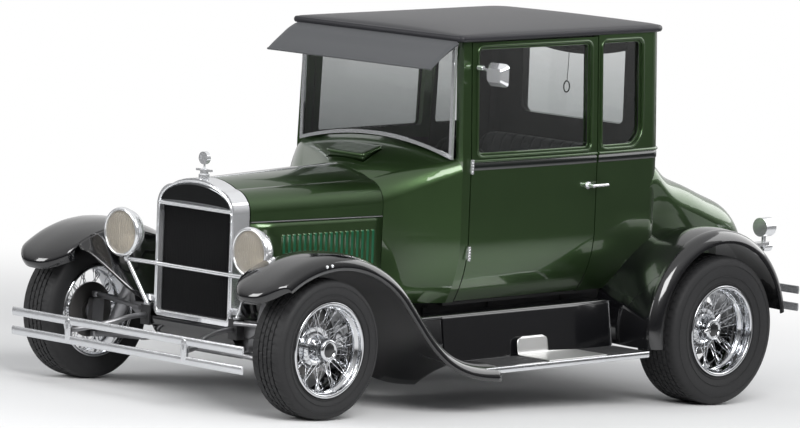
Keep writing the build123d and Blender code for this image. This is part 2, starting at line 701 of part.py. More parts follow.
with BuildPart() as front_fender:
    with BuildLine() as path:
        crown = ThreePointArc(*[(0, y, z) for y, z in FENDER_CURVE])
        fall = Line(crown @ 1, (0, *FENDER_KNEE))
        foot = TangentArc(fall @ 1, (0, FENDER_FOOT_Y, FENDER_FOOT_Z), tangent=fall % 1)
    start = Plane(origin=path.line @ 0, x_dir=(1, 0, 0), z_dir=-(path.line % 0))
    sweep(start * blade_section(300, 66, 62), path=path.line)
    # the apron slopes from the blade down to the frame, and the blade stops at it
    slope = Vector(APRON_HIGH[0] - APRON_LOW[0], 0, APRON_HIGH[1] - APRON_LOW[1])
    apron = Plane(origin=(APRON_LOW[0], 0, APRON_LOW[1]), x_dir=(0, 1, 0),
                  z_dir=(-slope.Z, 0, slope.X))
    with BuildSketch(apron):
        Rectangle(4000, 2400)
    extrude(amount=-1000, mode=Mode.INTERSECT)
    block((RAIL_OUT + 3, 900), (-600, BOARD_FRONT), (BOARD_Z + 2, 800), mode=Mode.INTERSECT)
    with BuildPart(mode=Mode.PRIVATE) as tip_room:
        block((470, LIP_X + 20), (-600, 2), (100, 900))
        fillet(tip_room.edges().filter_by(Axis.Z).group_by(Axis.Y)[0], 10)
        block((200, LIP_X + 20), (0, 1200), (100, 900))
    add(tip_room.part, mode=Mode.INTERSECT)
    with BuildPart(mode=Mode.PRIVATE) as apron_sheet:
        with BuildSketch(along(200)):
            with BuildLine():
                ThreePointArc((-330, 592), (-130, 452), (-8, 386))
                Polyline((-8, 386), (840, 386), (560, 405), (435, 545))
                ThreePointArc((435, 545), (60, 697), (-330, 592))
            make_face()
        extrude(amount=300)
        with BuildSketch(apron):
            Rectangle(4000, 2400)
        extrude(amount=-SHEET, mode=Mode.INTERSECT)
    add(apron_sheet.part)
    # behind the wheel the board's apron runs forward to meet the blade
    lean = Vector(APRON_TOP_X - BOARD_INNER_X, 0, APRON_Z - BOARD_Z).normalized()
    wall = Plane(origin=(BOARD_INNER_X, 0, BOARD_Z), x_dir=(0, 1, 0), z_dir=(lean.Z, 0, -lean.X))
    with BuildSketch(wall) as wall_face:
        with BuildLine():
            top = (APRON_Z - BOARD_Z) / lean.Z
            dip = [foot @ (i / 12) for i in range(2, 10)]
            under = [(p.Y, (p.Z - 18 - BOARD_Z) / lean.Z) for p in dip]
            Polyline(*under, (BOARD_FRONT, 0), (BOARD_FRONT, top), (under[0][0], top), close=True)
        make_face()
    extrude(wall_face.sketch, amount=-SHEET)
    block((440, APRON_TOP_X), (under[0][0], BOARD_FRONT), (APRON_Z - SHEET, APRON_Z))
    # a round notch in the blade's inner edge makes room for the headlight
    rod((LAMP_X, LAMP_Y - 40, LAMP_Z), (LAMP_X, LAMP_Y + 112, LAMP_Z), LAMP_R + 6, mode=Mode.SUBTRACT)
finish_pair(front_fender, "front_fender")

# rear fenders: the same blade bent round the wheel
REAR_ARC = (2512, 214)
REAR_ARC_R = 464
with BuildPart() as rear_fender:
    with BuildLine() as path:
        CenterArc((0, 0), REAR_ARC_R, 8, 181)
    arc = Plane(origin=(0, *REAR_ARC), x_dir=(0, 1, 0), z_dir=(1, 0, 0))
    sweep_path = arc * path.line
    start = Plane(origin=sweep_path @ 0, x_dir=(1, 0, 0), z_dir=sweep_path % 0)
    sweep(start * blade_section(430, 26, 60), path=sweep_path)
    add(CABIN_OUTSIDE, mode=Mode.SUBTRACT)
    add(DECK_OUTSIDE, mode=Mode.SUBTRACT)
    block((RAIL_OUT + 3, LIP_X + 5), (1800, 3200), (BOARD_Z + 2, 900), mode=Mode.INTERSECT)
finish_pair(rear_fender, "rear_fender")

# running boards with the aprons that rise from them to the sills
with BuildPart() as running_boards:
    with BuildSketch(across(BOARD_FRONT)):
        with BuildLine():
            Polyline((580, BOARD_Z - 6), (BOARD_X, BOARD_Z - 6), (BOARD_X, BOARD_Z - 30),
                     (BOARD_X - 5, BOARD_Z - 30), (BOARD_X - 5, BOARD_Z - 12), (572, BOARD_Z - 12))
            Line((572, BOARD_Z - 12), (548, APRON_Z - 14))
            ThreePointArc((548, APRON_Z - 14), (543, APRON_Z - 7), (535, APRON_Z - 5))
            Polyline((535, APRON_Z - 5), (440, APRON_Z - 5), (440, APRON_Z), (538, APRON_Z))
            ThreePointArc((538, APRON_Z), (549, APRON_Z - 4), (555, APRON_Z - 14))
            Line((555, APRON_Z - 14), (580, BOARD_Z - 6))
        make_face()
    extrude(amount=BOARD_FRONT - BOARD_REAR)
    mirror(about=Plane.YZ)
finish(running_boards, "running_boards")

# hinge rod that the hood's two tops share
with BuildPart() as hood_hinge:
    rod((0, HOOD_FRONT - 4, 965), (0, HOOD_REAR + 4, 990), 3)
    add(radiator_shell.part.moved(TIPPED.inverse()), mode=Mode.SUBTRACT)
    add(cowl.part.moved(TIPPED.inverse()), mode=Mode.SUBTRACT)
finish(hood_hinge, "hood_hinge")

# headlights: turned buckets with bright rings, their lenses, and the bar that carries them
with BuildPart() as headlights:
    for x in (-LAMP_X, LAMP_X):
        with BuildSketch(along(x)):
            with BuildLine():
                Polyline((LAMP_Y, LAMP_Z + 96), (LAMP_Y, LAMP_Z + LAMP_R), (LAMP_Y + 18, LAMP_Z + LAMP_R),
                         (LAMP_Y + 20, LAMP_Z + 101))
                Spline((LAMP_Y + 20, LAMP_Z + 101), (LAMP_Y + 74, LAMP_Z + 70), (LAMP_Y + 100, LAMP_Z),
                       tangents=((1, 0), (0, -1)))
                Line((LAMP_Y + 100, LAMP_Z), (LAMP_Y + 94, LAMP_Z))
                Spline((LAMP_Y + 94, LAMP_Z), (LAMP_Y + 70, LAMP_Z + 65), (LAMP_Y + 16, LAMP_Z + 96),
                       tangents=((0, 1), (-1, 0)))
                Line((LAMP_Y + 16, LAMP_Z + 96), (LAMP_Y, LAMP_Z + 96))
            make_face()
        revolve(axis=Axis((x, LAMP_Y, LAMP_Z), (0, -1, 0)))
with BuildPart() as headlight_lenses:
    for x in (-LAMP_X, LAMP_X):
        with BuildSketch(along(x)):
            with BuildLine():
                Line((LAMP_Y + 8, LAMP_Z), (LAMP_Y + 8, LAMP_Z + 96))
                Line((LAMP_Y + 8, LAMP_Z + 96), (LAMP_Y + 2, LAMP_Z + 96))
                Spline((LAMP_Y + 2, LAMP_Z + 96), (LAMP_Y - 8, LAMP_Z + 50), (LAMP_Y - 12, LAMP_Z),
                       tangents=((-1, -2), (0, -1)))
                Line((LAMP_Y - 12, LAMP_Z), (LAMP_Y + 8, LAMP_Z))
            make_face()
        revolve(axis=Axis((x, LAMP_Y, LAMP_Z), (0, -1, 0)))
BAR_Y = -70
BAR_Z = 572
with BuildPart() as headlight_bar:
    rod((-LAMP_X + 8, BAR_Y, BAR_Z), (LAMP_X - 8, BAR_Y, BAR_Z), 9)
    for side in (-1, 1):
        with Locations((side * (LAMP_X - 10), BAR_Y, BAR_Z)):
            Sphere(15)
        rod((side * (LAMP_X - 10), BAR_Y, BAR_Z), (side * LAMP_X, BAR_Y, LAMP_Z - 92), 11)
        rod((side * (LAMP_X - 12), BAR_Y, BAR_Z), (side * 284, -44, RAIL_HIGH + 6), 9)
        rod((side * 284, -44, RAIL_HIGH), (side * 284, -44, RAIL_HIGH + 9), 16)
    add(headlights.part, mode=Mode.SUBTRACT)
finish(headlights, "headlights")
finish(headlight_lenses, "headlight_lenses")
finish(headlight_bar, "headlight_bar")

# bumpers: pairs of flat bars on irons from the frame's ends
BAR_HEIGHT = 38


def bumper(y, heights, clamp_x, horn_y, facing):
    """Two flat bars joined by oval clamps and carried by irons from the rails."""
    low, high = heights
    with BuildPart() as bars:
        for z in heights:
            block((-BUMPER_HALF, BUMPER_HALF), (y - BUMPER_T / 2, y + BUMPER_T / 2),
                  (z - BAR_HEIGHT / 2, z + BAR_HEIGHT / 2))
        for x in (-clamp_x, clamp_x):
            with BuildSketch(across(y)) as oval:
                with Locations((x, (low + high) / 2)):
                    SlotOverall(high - low + 24, 34, rotation=90)
            extrude(oval.sketch, amount=facing * (BUMPER_T / 2 + 3))
            extrude(oval.sketch, amount=-facing * 14)
            inner = 278 if x > 0 else -278
            rod((x, y - facing * -9, (low + high) / 2), (inner, horn_y, 336), 13)
    return bars


front_bumper = bumper(FRONT_BUMPER_Y, (240, 324), 368, FRAME_FRONT + 1, 1)
rear_bumper = bumper(REAR_BUMPER_Y, (272, 352), 368, FRAME_REAR - 1, -1)
for bars, node in ((front_bumper, "front_bumper"), (rear_bumper, "rear_bumper")):
    with BuildPart() as seated:
        add(bars.part)
        add(frame.part.moved(TIPPED.inverse()), mode=Mode.SUBTRACT)
    finish(seated, node)

# engine and gearbox, closed in: one plain mass
with BuildPart() as engine:
    block((-150, 150), (130, 640), (300, 760))
    block((-80, 80), (640, 1160), (240, 376))
    chamfer(engine.edges().filter_by(Axis.Y), 14)
    for side in (-1, 1):
        block(sorted((side * 140, side * (RAIL_IN + 1))), (360, 440), (330, 352))
    add(frame.part.moved(TIPPED.inverse()), mode=Mode.SUBTRACT)
finish(engine, "engine")

REAR_AXLE_Y, REAR_AXLE_Z = in_body(WHEELBASE, REAR_TYRE_R)

# live rear axle with its differential, propeller shaft, links and springs
with BuildPart() as rear_axle:
    rod((-562, REAR_AXLE_Y, REAR_AXLE_Z), (562, REAR_AXLE_Y, REAR_AXLE_Z), 38)
    rod((-700, REAR_AXLE_Y, REAR_AXLE_Z), (700, REAR_AXLE_Y, REAR_AXLE_Z), 17)
    with Locations((0, REAR_AXLE_Y, REAR_AXLE_Z)):
        Sphere(128)
    rod((0, 1166, 290), (0, REAR_AXLE_Y - 40, REAR_AXLE_Z), 32)
    for side in (-1, 1):
        x = side * 330
        rod((x, REAR_AXLE_Y, REAR_AXLE_Z - 30), (x, 2020, 268), 13)
        block(sorted((side * (RAIL_OUT - 3), side * (RAIL_OUT + 42))), (2000, 2040), (250, 330))
        rod((side * 352, REAR_AXLE_Y + 70, REAR_AXLE_Z - 40), (side * 352, REAR_AXLE_Y + 70, 366), 17)
        rod((side * 352, REAR_AXLE_Y + 70, REAR_AXLE_Z - 10), (side * 352, REAR_AXLE_Y + 70, 344), 30)
        block(sorted((side * 330, side * 374)), (REAR_AXLE_Y - 20, REAR_AXLE_Y + 90),
              (REAR_AXLE_Z - 50, REAR_AXLE_Z - 34))
        block(sorted((side * (RAIL_OUT - 3), side * 376)), (REAR_AXLE_Y + 50, REAR_AXLE_Y + 90),
              (354, 372))
    add(frame.part.moved(TIPPED.inverse()), mode=Mode.SUBTRACT)
finish(rear_axle, "rear_axle")

# front suspension: cross member, wishbones and sprung dampers on each side
KINGPIN_X = 660
UPPER_JOINT_Z = 378
LOWER_JOINT_Z = 204
RACK_Y = 112
RACK_Z = 214
rack_y, rack_z = in_body(RACK_Y, RACK_Z)
with BuildPart() as front_suspension:
    block((-292, 292), (26, 84), (232, RAIL_LOW))
    for side in (-1, 1):
        for y in (-72, 72):
            rod((side * 300, y, 366), (side * KINGPIN_X, 0, UPPER_JOINT_Z), 10)
            rod((side * 262, y * 1.2, 240), (side * KINGPIN_X, 0, LOWER_JOINT_Z), 12)
        rod((side * 262, -92, 240), (side * 262, 92, 240), 14)
        rod((side * KINGPIN_X, 0, UPPER_JOINT_Z - 10), (side * KINGPIN_X, 0, UPPER_JOINT_Z + 12), 20)
        rod((side * KINGPIN_X, 0, LOWER_JOINT_Z - 14), (side * KINGPIN_X, 0, LOWER_JOINT_Z + 10), 22)
        with BuildSketch(across(20)):
            with BuildLine():
                points = ((302, 300), (302, 378), (384, 380), (408, 466), (438, 466), (404, 344), (340, 300))
                Polyline([(side * x, z) for x, z in points], close=True)
            make_face()
        extrude(amount=40)
        rod((side * 560, 0, 214), (side * 426, 0, 462), 16)
        rod((side * 543, 0, 246), (side * 441, 0, 436), 32)
    rod((-170, rack_y, rack_z), (170, rack_y, rack_z), 26)
    for x in (-120, 120):
        block((x - 12, x + 12), (50, rack_y - 4), (rack_z - 4, 262))
    rod((-171, rack_y, rack_z), (171, rack_y, rack_z), 15, mode=Mode.SUBTRACT)
    add(frame.part.moved(TIPPED.inverse()), mode=Mode.SUBTRACT)
    add(engine.part.moved(TIPPED.inverse()), mode=Mode.SUBTRACT)
finish(front_suspension, "front_suspension")

# exhaust pipes with their silencers, and the fuel tank between the rails
with BuildPart() as exhaust:
    for side in (-1, 1):
        rod((side * 200, 560, 278), (side * 200, 3070, 278), 22)
        rod((side * 200, 1480, 272), (side * 200, 1900, 272), 46)
with BuildPart() as fuel_tank:
    block((-160, 160), (2690, 2890), (190, 316))
    fillet(fuel_tank.edges().filter_by(Axis.X), 30)
    for x in (-110, 110):
        block((x - 15, x + 15), (2870, 2930), (306, 322))
    add(frame.part.moved(TIPPED.inverse()), mode=Mode.SUBTRACT)
finish(exhaust, "exhaust")
finish(fuel_tank, "fuel_tank")

# tail lights on posts from the rear fenders
TAIL_X = 560
TAIL_Z = 632
with BuildPart() as tail_light:
    x = TAIL_X
    rod((x, 3052, TAIL_Z), (x, 3118, TAIL_Z), 44)
    rod((x, 3118, TAIL_Z), (x, 3124, TAIL_Z), 37)
    rod((x, 3082, TAIL_Z), (x, 3082, 556), 10)
    block((x - 26, x + 26), (2950, 3096), (548, 562))
    rod((x, 3070, 540), (x, 3122, 540), 22)
    rod((x, 3060, 550), (x, 2950, 430), 9)
    add(rear_fender.part.moved(TIPPED.inverse()), mode=Mode.SUBTRACT)
with BuildPart() as tail_lights:
    add(tail_light.part)
    mirror(tail_light.part, about=Plane.YZ)
finish(tail_lights, "tail_lights")

# driver's mirror, clamped to the door's front edge
with BuildPart() as mirror_head:
    with BuildSketch(across(1168)):
        with Locations((641, 1428)):
            RectangleRounded(126, 104, 22)
    with BuildSketch(across(1136)):
        with Locations((641, 1428)):
            RectangleRounded(84, 62, 16)
    loft()
    rod((560, 1152, 1452), (600, 1152, 1440), 7)
    rod((532, 1152, 1452), (562, 1152, 1452), 11)
    add(door.part.moved(TIPPED.inverse()), mode=Mode.SUBTRACT)
finish(mirror_head, "mirror")

# steering knuckles, level with the ground: an upright, a stub axle and a steering arm
with BuildPart() as knuckle:
    block((646, 676), (-34, 34), (LOWER_JOINT_Z + 15, UPPER_JOINT_Z - 15))
    fillet(knuckle.edges().filter_by(Axis.X), 12)
    rod((660, 0, FRONT_TYRE_R), (740, 0, FRONT_TYRE_R), 17)
    rod((676, 0, FRONT_TYRE_R), (682, 0, FRONT_TYRE_R), 42)
    rod((662, 20, 240), (640, RACK_Y, 240), 11)
    rod((640, RACK_Y, 231), (640, RACK_Y, 249), 17)
finish_pair(knuckle, "knuckle", LEVEL)

with BuildPart() as track_rod:
    rod((-640, RACK_Y, RACK_Z), (640, RACK_Y, RACK_Z), 9)
    for x in (-640, 640):
        rod((x, RACK_Y, RACK_Z - 11), (x, RACK_Y, RACK_Z + 11), 16)
finish(track_rod, "track_rod", LEVEL)


def ring(points):
    """A closed profile of (distance outboard, radius) points turned about the wheel's axle."""
    with BuildPart() as turned:
        with BuildSketch(Plane.XY):
            with BuildLine():
                Polyline(*points, close=True)
            make_face()
        revolve(axis=Axis.X)
    return turned.part


def tyre(radius, width, seat):
    """A road tyre: flat tread, rounded shoulders and bulging walls."""
    half = width / 2
    with BuildPart() as turned:
        with BuildSketch(Plane.XY):
            with BuildLine():
                Polyline((-half + 14, 209), (-seat, 209), (-seat, 198), (seat, 198), (seat, 209), (half - 14, 209))
                ThreePointArc((half - 14, 209), (half, (197 + radius) / 2 - 6), (half - 14, radius - 16))
                ThreePointArc((half - 14, radius - 16), (half - 21, radius - 6), (half - 34, radius - 1))
                ThreePointArc((half - 34, radius - 1), (0, radius), (-half + 34, radius - 1))
                ThreePointArc((-half + 34, radius - 1), (-half + 21, radius - 6), (-half + 14, radius - 16))
                ThreePointArc((-half + 14, radius - 16), (-half, (197 + radius) / 2 - 6), (-half + 14, 209))
            make_face()
        revolve(axis=Axis.X)
    return turned.part


# columns: outboard, radius, from the outer lip round to the inner one and back inside
def rim_profile(half, well):
    """A rolled rim: lips, bead seats and a drop centre."""
    return ((half, 196), (half, RIM_R), (half - 6, RIM_R), (half - 9, 197), (well + 24, 193),
            (well + 8, 182), (well - 50, 182), (well - 66, 193), (-half + 9, 197), (-half + 6, RIM_R),
            (-half, RIM_R), (-half, 196), (-half + 8, 190), (well - 62, 187), (well - 46, 176),
            (well + 4, 176), (well + 20, 187), (half - 8, 190))


def wire_wheel(half, well, hub_out, spokes):
    """A wire wheel: rim, hub barrel with its flange and cap, brake disc, and two rows of spokes."""
    hub = ring(((-40, 21), (-40, 52), (-20, 52), (-14, 88), (-8, 88), (-2, 50), (hub_out - 34, 40),
                (hub_out - 30, 48), (hub_out - 8, 44), (hub_out, 30), (hub_out, 0), (hub_out - 40, 0),
                (hub_out - 40, 21)))
    disc = ring(((-38, 50), (-38, 124), (-22, 124), (-22, 50)))
    rim = ring(rim_profile(half, well))
    with BuildPart() as wheel:
        add(rim)
        add(hub)
        add(disc)
        with BuildPart(mode=Mode.PRIVATE) as wires:
            pitch = 360 / spokes
            # columns: hub place outboard, hub radius, hub turn, rim place outboard, rim turn
            rows = ((hub_out - 40, 39, 0, well - 8, 2.4), (-10, 84, 0.5, well - 30, -1.4))
            for place, radius, turn, seat, lead in rows:
                for i in range(spokes):
                    a = radians(pitch * (i + turn))
                    b = radians(pitch * (i + turn + (lead if i % 2 else -lead)))
                    foot = Vector(place, radius * cos(a), radius * sin(a))
                    head = Vector(seat, 179 * cos(b), 179 * sin(b))
                    with BuildSketch(Plane(origin=foot, z_dir=head - foot)):
                        Rectangle(4.4, 4.4)
                    extrude(amount=(head - foot).length)
        add(wires.part)
    return wheel


FRONT_WHEEL_X = FRONT_TYRE_FACE - FRONT_TYRE_W / 2
REAR_WHEEL_X = REAR_TYRE_FACE - REAR_TYRE_W / 2
front_wheel = wire_wheel(88, 46, 92, 12)
rear_wheel = wire_wheel(117, 18, 70, 12)
# columns: wheel, name, place across, place along, radius, width, half width between lips
WHEELS = (
    (front_wheel, "front", FRONT_WHEEL_X, 0, FRONT_TYRE_R, FRONT_TYRE_W, 78),
    (rear_wheel, "rear", REAR_WHEEL_X, WHEELBASE, REAR_TYRE_R, REAR_TYRE_W, 107),
)
for wheel, name, x, y, radius, width, seat in WHEELS:
    with BuildPart() as placed_wheel:
        add(wheel.part.moved(Location((x, y, radius))))
    with BuildPart() as placed_tyre:
        add(tyre(radius, width, seat).moved(Location((x, y, radius))))
    finish_pair(placed_wheel, f"{name}_wheel", LEVEL)
    finish_pair(placed_tyre, f"{name}_tyre", LEVEL)
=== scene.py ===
import json
import math
import bmesh
import bpy
import numpy as np
from mathutils import Matrix, Vector


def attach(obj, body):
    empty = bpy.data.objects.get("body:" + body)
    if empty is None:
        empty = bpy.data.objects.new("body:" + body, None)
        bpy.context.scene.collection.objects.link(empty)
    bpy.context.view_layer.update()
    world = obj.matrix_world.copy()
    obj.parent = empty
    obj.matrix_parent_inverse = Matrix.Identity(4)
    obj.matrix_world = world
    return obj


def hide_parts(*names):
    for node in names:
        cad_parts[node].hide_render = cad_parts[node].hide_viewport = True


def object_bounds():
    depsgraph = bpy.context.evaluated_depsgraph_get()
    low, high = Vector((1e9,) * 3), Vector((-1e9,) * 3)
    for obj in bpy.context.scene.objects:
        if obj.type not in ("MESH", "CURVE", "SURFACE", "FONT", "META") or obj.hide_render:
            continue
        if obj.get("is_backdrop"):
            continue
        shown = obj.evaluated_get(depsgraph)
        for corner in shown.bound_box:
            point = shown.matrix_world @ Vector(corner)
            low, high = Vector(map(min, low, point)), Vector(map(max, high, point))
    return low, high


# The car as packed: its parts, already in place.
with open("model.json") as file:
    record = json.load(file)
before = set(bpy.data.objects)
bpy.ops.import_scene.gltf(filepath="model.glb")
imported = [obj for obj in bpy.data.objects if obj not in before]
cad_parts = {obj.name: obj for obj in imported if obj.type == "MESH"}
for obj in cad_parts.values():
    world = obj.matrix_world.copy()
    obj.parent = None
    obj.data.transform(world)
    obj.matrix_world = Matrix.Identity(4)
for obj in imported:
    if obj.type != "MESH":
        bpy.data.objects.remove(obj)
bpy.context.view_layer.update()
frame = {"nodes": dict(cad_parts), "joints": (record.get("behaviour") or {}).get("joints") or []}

# The camera stands as the photographer did: far off with a long lens, to the left of the
# car's nose, low, and with the frame tilted a little.
AXLE_Y = next(j["pos_m"][1] for j in frame["joints"] if j["name"] == "front_wheel_left_spin")
TARGET = Vector((0, 1.21 + AXLE_Y, 0.80))
AZIMUTH, ELEVATION, ROLL = (math.radians(a) for a in (44.15, 4.53, 4.21))
camera_data = bpy.data.cameras.new("camera")
camera_data.sensor_width = 36
camera_data.lens = 291.6
camera_data.clip_end = 200
camera = bpy.data.objects.new("camera", camera_data)
bpy.context.scene.collection.objects.link(camera)
back = Vector((math.sin(AZIMUTH) * math.cos(ELEVATION), -math.cos(AZIMUTH) * math.cos(ELEVATION),
               math.sin(ELEVATION)))
right = (-back).cross(Vector((0, 0, 1))).normalized()
up = right.cross(-back)
camera_x = right * math.cos(ROLL) + up * math.sin(ROLL)
camera_y = up * math.cos(ROLL) - right * math.sin(ROLL)
turn = Matrix((camera_x, camera_y, back)).transposed().to_4x4()
camera.matrix_world = Matrix.Translation(TARGET + back * 29.16) @ turn
bpy.context.scene.camera = camera
bpy.context.scene.view_settings.view_transform = "Standard"

# A pale studio: a wide floor that runs into the white of the background beyond the car's own
# shadow, a soft even sky and three large soft boxes. Metal and lacquer see a room in it, with a
# bright ceiling, dim walls and the white behind the car.
FLOOR_HALF = 60
floor_mesh = bpy.data.meshes.new("studio_floor")
floor_mesh.from_pydata([(x * FLOOR_HALF, y * FLOOR_HALF, 0) for x,
                        y in ((-1, -1), (1, -1), (1, 1), (-1, 1))], [], [(0, 1, 2, 3)])
studio_floor = bpy.data.objects.new("studio_floor", floor_mesh)
bpy.context.scene.collection.objects.link(studio_floor)
studio_floor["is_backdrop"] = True


def plug(tree, node, sockets):
    """Give each of these sockets, by name or number, a constant or another node's output."""
    for key, value in sockets.items():
        if isinstance(value, bpy.types.NodeSocket):
            tree.links.new(value, node.inputs[key])
        else:
            node.inputs[key].default_value = value


def add(tree, kind, sockets=(), **own):
    """A node of a shading net: its own settings first, then its sockets."""
    node = tree.nodes.new("ShaderNode" + kind)
    for key, value in own.items():
        setattr(node, key, value)
    plug(tree, node, dict(sockets))
    return node


def worked(tree, kind, a, b=0.5):
    """One sum on two numbers, either of them a constant or an output."""
    return add(tree, "Math", {0: a, 1: b}, operation=kind).outputs[0]


def step(tree, value, start, end, low=0.0, high=1.0, kind="SMOOTHSTEP"):
    """From the low result to the high one while the value goes from start to end."""
    return add(tree, "MapRange", {"Value": value, "From Min": start, "From Max": end, "To Min": low,
                                  "To Max": high}, interpolation_type=kind).outputs["Result"]


def seen_by(tree, *kinds):
    """1 for the rays of these kinds and 0 for the rest."""
    path = add(tree, "LightPath")
    found = path.outputs[kinds[0]]
    for kind in kinds[1:]:
        found = worked(tree, "MAXIMUM", found, path.outputs[kind])
    return found


def mixed(tree, share, first, second):
    """Two shaders mixed, none of the second at a share of 0 and nothing else at 1."""
    return add(tree, "MixShader", {0: share, 1: first.outputs[0], 2: second.outputs[0]})


floor_finish = bpy.data.materials.new("studio_floor")
floor_finish.use_nodes = True
tree = floor_finish.node_tree
matt = tree.nodes["Principled BSDF"]
plug(tree, matt, {"Base Color": (0.80, 0.80, 0.80, 1), "Roughness": 0.8})
away = add(tree, "VectorMath", {0: add(tree, "NewGeometry").outputs["Position"]}, operation="LENGTH")
far = step(tree, away.outputs["Value"], 2.0, 6.5)
dim_wall = add(tree, "Emission", {"Strength": 0.09})
walled = mixed(tree, worked(tree, "MULTIPLY", far, seen_by(tree, "Is Glossy Ray")), matt, dim_wall)
seen_far = worked(tree, "MULTIPLY", far, seen_by(tree, "Is Camera Ray", "Is Transmission Ray"))
shown = mixed(tree, seen_far, walled, add(tree, "Emission"))
plug(tree, tree.nodes["Material Output"], {"Surface": shown.outputs[0]})
floor_mesh.materials.append(floor_finish)

world = bpy.data.worlds.new("studio_sky")
bpy.context.scene.world = world
world.use_nodes = True
tree = world.node_tree
sky = tree.nodes["Background"]
plug(tree, sky, {"Color": (0.95, 0.97, 1.0, 1), "Strength": 0.42})
white = add(tree, "Background", {"Color": (1, 1, 1, 1), "Strength": 1.0})
facing = add(tree, "TexCoord").outputs["Generated"]
ceiling = step(tree, add(tree, "SeparateXYZ", {0: facing}).outputs["Z"], -0.05, 0.75, 0.06, 0.95)
behind_car = tuple(Vector((-back.x, -back.y, 0)).normalized())
towards = add(tree, "VectorMath", {0: facing, 1: behind_car}, operation="DOT_PRODUCT")
backdrop = step(tree, towards.outputs["Value"], 0.30, 0.75, 0.0, 0.85)
room = add(tree, "Background", {"Strength": worked(tree, "MAXIMUM", ceiling, backdrop)})
around = mixed(tree, seen_by(tree, "Is Glossy Ray"), sky, room)
shown = mixed(tree, seen_by(tree, "Is Camera Ray", "Is Transmission Ray"), around, white)
plug(tree, tree.nodes["World Output"], {"Surface": shown.outputs[0]})

# columns: name, place, aimed at, width, height, power
SOFT_BOXES = (
    ("key", (6.5, -3.5, 6.0), (0, 0, 0.8), 5.0, 4.0, 620),
    ("front", (-3.0, -8.0, 3.6), (0, -1.0, 0.8), 4.0, 3.0, 300),
    ("back", (2.0, 7.0, 4.5), (0, 0.5, 1.0), 8.0, 5.0, 260),
)
for name, place, aim, width, height, power in SOFT_BOXES:
    lamp = bpy.data.lights.new(name, "AREA")
    lamp.shape, lamp.size, lamp.size_y, lamp.energy = "RECTANGLE", width, height, power
    box = bpy.data.objects.new(name, lamp)
    aimed = (Vector(aim) - Vector(place)).to_track_quat("-Z", "Y").to_matrix().to_4x4()
    box.matrix_world = Matrix.Translation(place) @ aimed
    bpy.context.scene.collection.objects.link(box)

# The car's finishes: green metallic paint and black enamel under lacquer, plated and bare steel,
# rubber and plate glass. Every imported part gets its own, and the pieces further down use them too.
FINISHES = {}


def finish(name, colour, gloss=(), **sockets):
    """A finish, kept under its name: a colour, constants on the shader's other sockets, and uneven
    gloss. Gloss is the scale of a noise that moves the roughness, the least and most roughness,
    and, where the noise also lifts the surface, how strongly and how far in metres."""
    made = bpy.data.materials.new(name)
    made.use_nodes = True
    tree = made.node_tree
    shine = tree.nodes["Principled BSDF"]
    plug(tree, shine, {"Base Color": (*colour, 1), **{key.replace("_", " "): v for key,
                                                      v in sockets.items()}})
    if gloss:
        scale, low, high, *grain = gloss
        place = add(tree, "TexCoord").outputs["Object"]
        cloud = add(tree, "TexNoise", {"Scale": scale, "Detail": 6, "Vector": place}).outputs["Fac"]
        plug(tree, shine, {"Roughness": step(tree, cloud, 0.0, 1.0, low, high, "LINEAR")})
        if grain:
            lift = add(tree, "Bump", {"Strength": grain[0], "Distance": grain[1], "Height": cloud})
            plug(tree, shine, {"Normal": lift.outputs["Normal"]})
    FINISHES[name] = made
    return made


# columns: name, colour, noise scale with least and most roughness, metallic, coat, coat roughness
BASE_FINISHES = (
    ("green_paint", (0.042, 0.084, 0.028), (7, 0.26, 0.36), 0.80, 1.0, 0.015),
    ("black_paint", (0.006, 0.006, 0.007), (9, 0.10, 0.18), 0.0, 1.0, 0.02),
    ("chassis_black", (0.014, 0.014, 0.015), (18, 0.38, 0.55), 0.0, 0.15, 0.3),
    ("chrome", (0.90, 0.91, 0.93), (14, 0.03, 0.08), 0.76, 0.0, 0.0),
    ("wheel_plate", (0.66, 0.67, 0.69), (14, 0.05, 0.12), 1.0, 0.0, 0.0),
    ("dull_chrome", (0.66, 0.67, 0.69), (26, 0.16, 0.30), 0.78, 0.0, 0.0),
    ("steel", (0.32, 0.32, 0.33), (22, 0.30, 0.48), 1.0, 0.0, 0.0),
    ("engine_paint", (0.06, 0.06, 0.065), (20, 0.35, 0.5), 0.0, 0.2, 0.2),
    ("rubber", (0.018, 0.018, 0.019), (20, 0.45, 0.62), 0.0, 0.0, 0.0),
)
for name, colour, gloss, metallic, coat, coat_rough in BASE_FINISHES:
    finish(name, colour, gloss, Metallic=metallic, Coat_Weight=coat, Coat_Roughness=coat_rough)

# columns: name, colour at the sill, colour at the top, which is 0.52 m higher
PANES = (
    ("window_glass", (0.50, 0.52, 0.52, 1), (0.78, 0.79, 0.79, 1)),
    ("windshield_painted_shade", (0.30, 0.31, 0.31, 1), (0.60, 0.61, 0.61, 1)),
)
SILL_Z, PANE_TOP_Z = 1.10, 1.62
# painted shade and reflection: each pane runs from a dark colour at the sill to a light one at the top, and
# the windshield is darker than the side windows as painted shade
for name, low, high in PANES:
    tree = finish(name, (0.8, 0.8, 0.8), Roughness=0.0, IOR=1.45, Transmission_Weight=1.0).node_tree
    height = add(tree, "SeparateXYZ", {0: add(tree, "TexCoord").outputs["Object"]}).outputs["Z"]
    climb = step(tree, height, SILL_Z, PANE_TOP_Z, kind="LINEAR")
    painted_shade_colour = add(tree, "Mix", {"A": low, "B": high, "Factor": climb}, data_type="RGBA")
    plug(tree, tree.nodes["Principled BSDF"], {"Base Color": painted_shade_colour.outputs["Result"]})


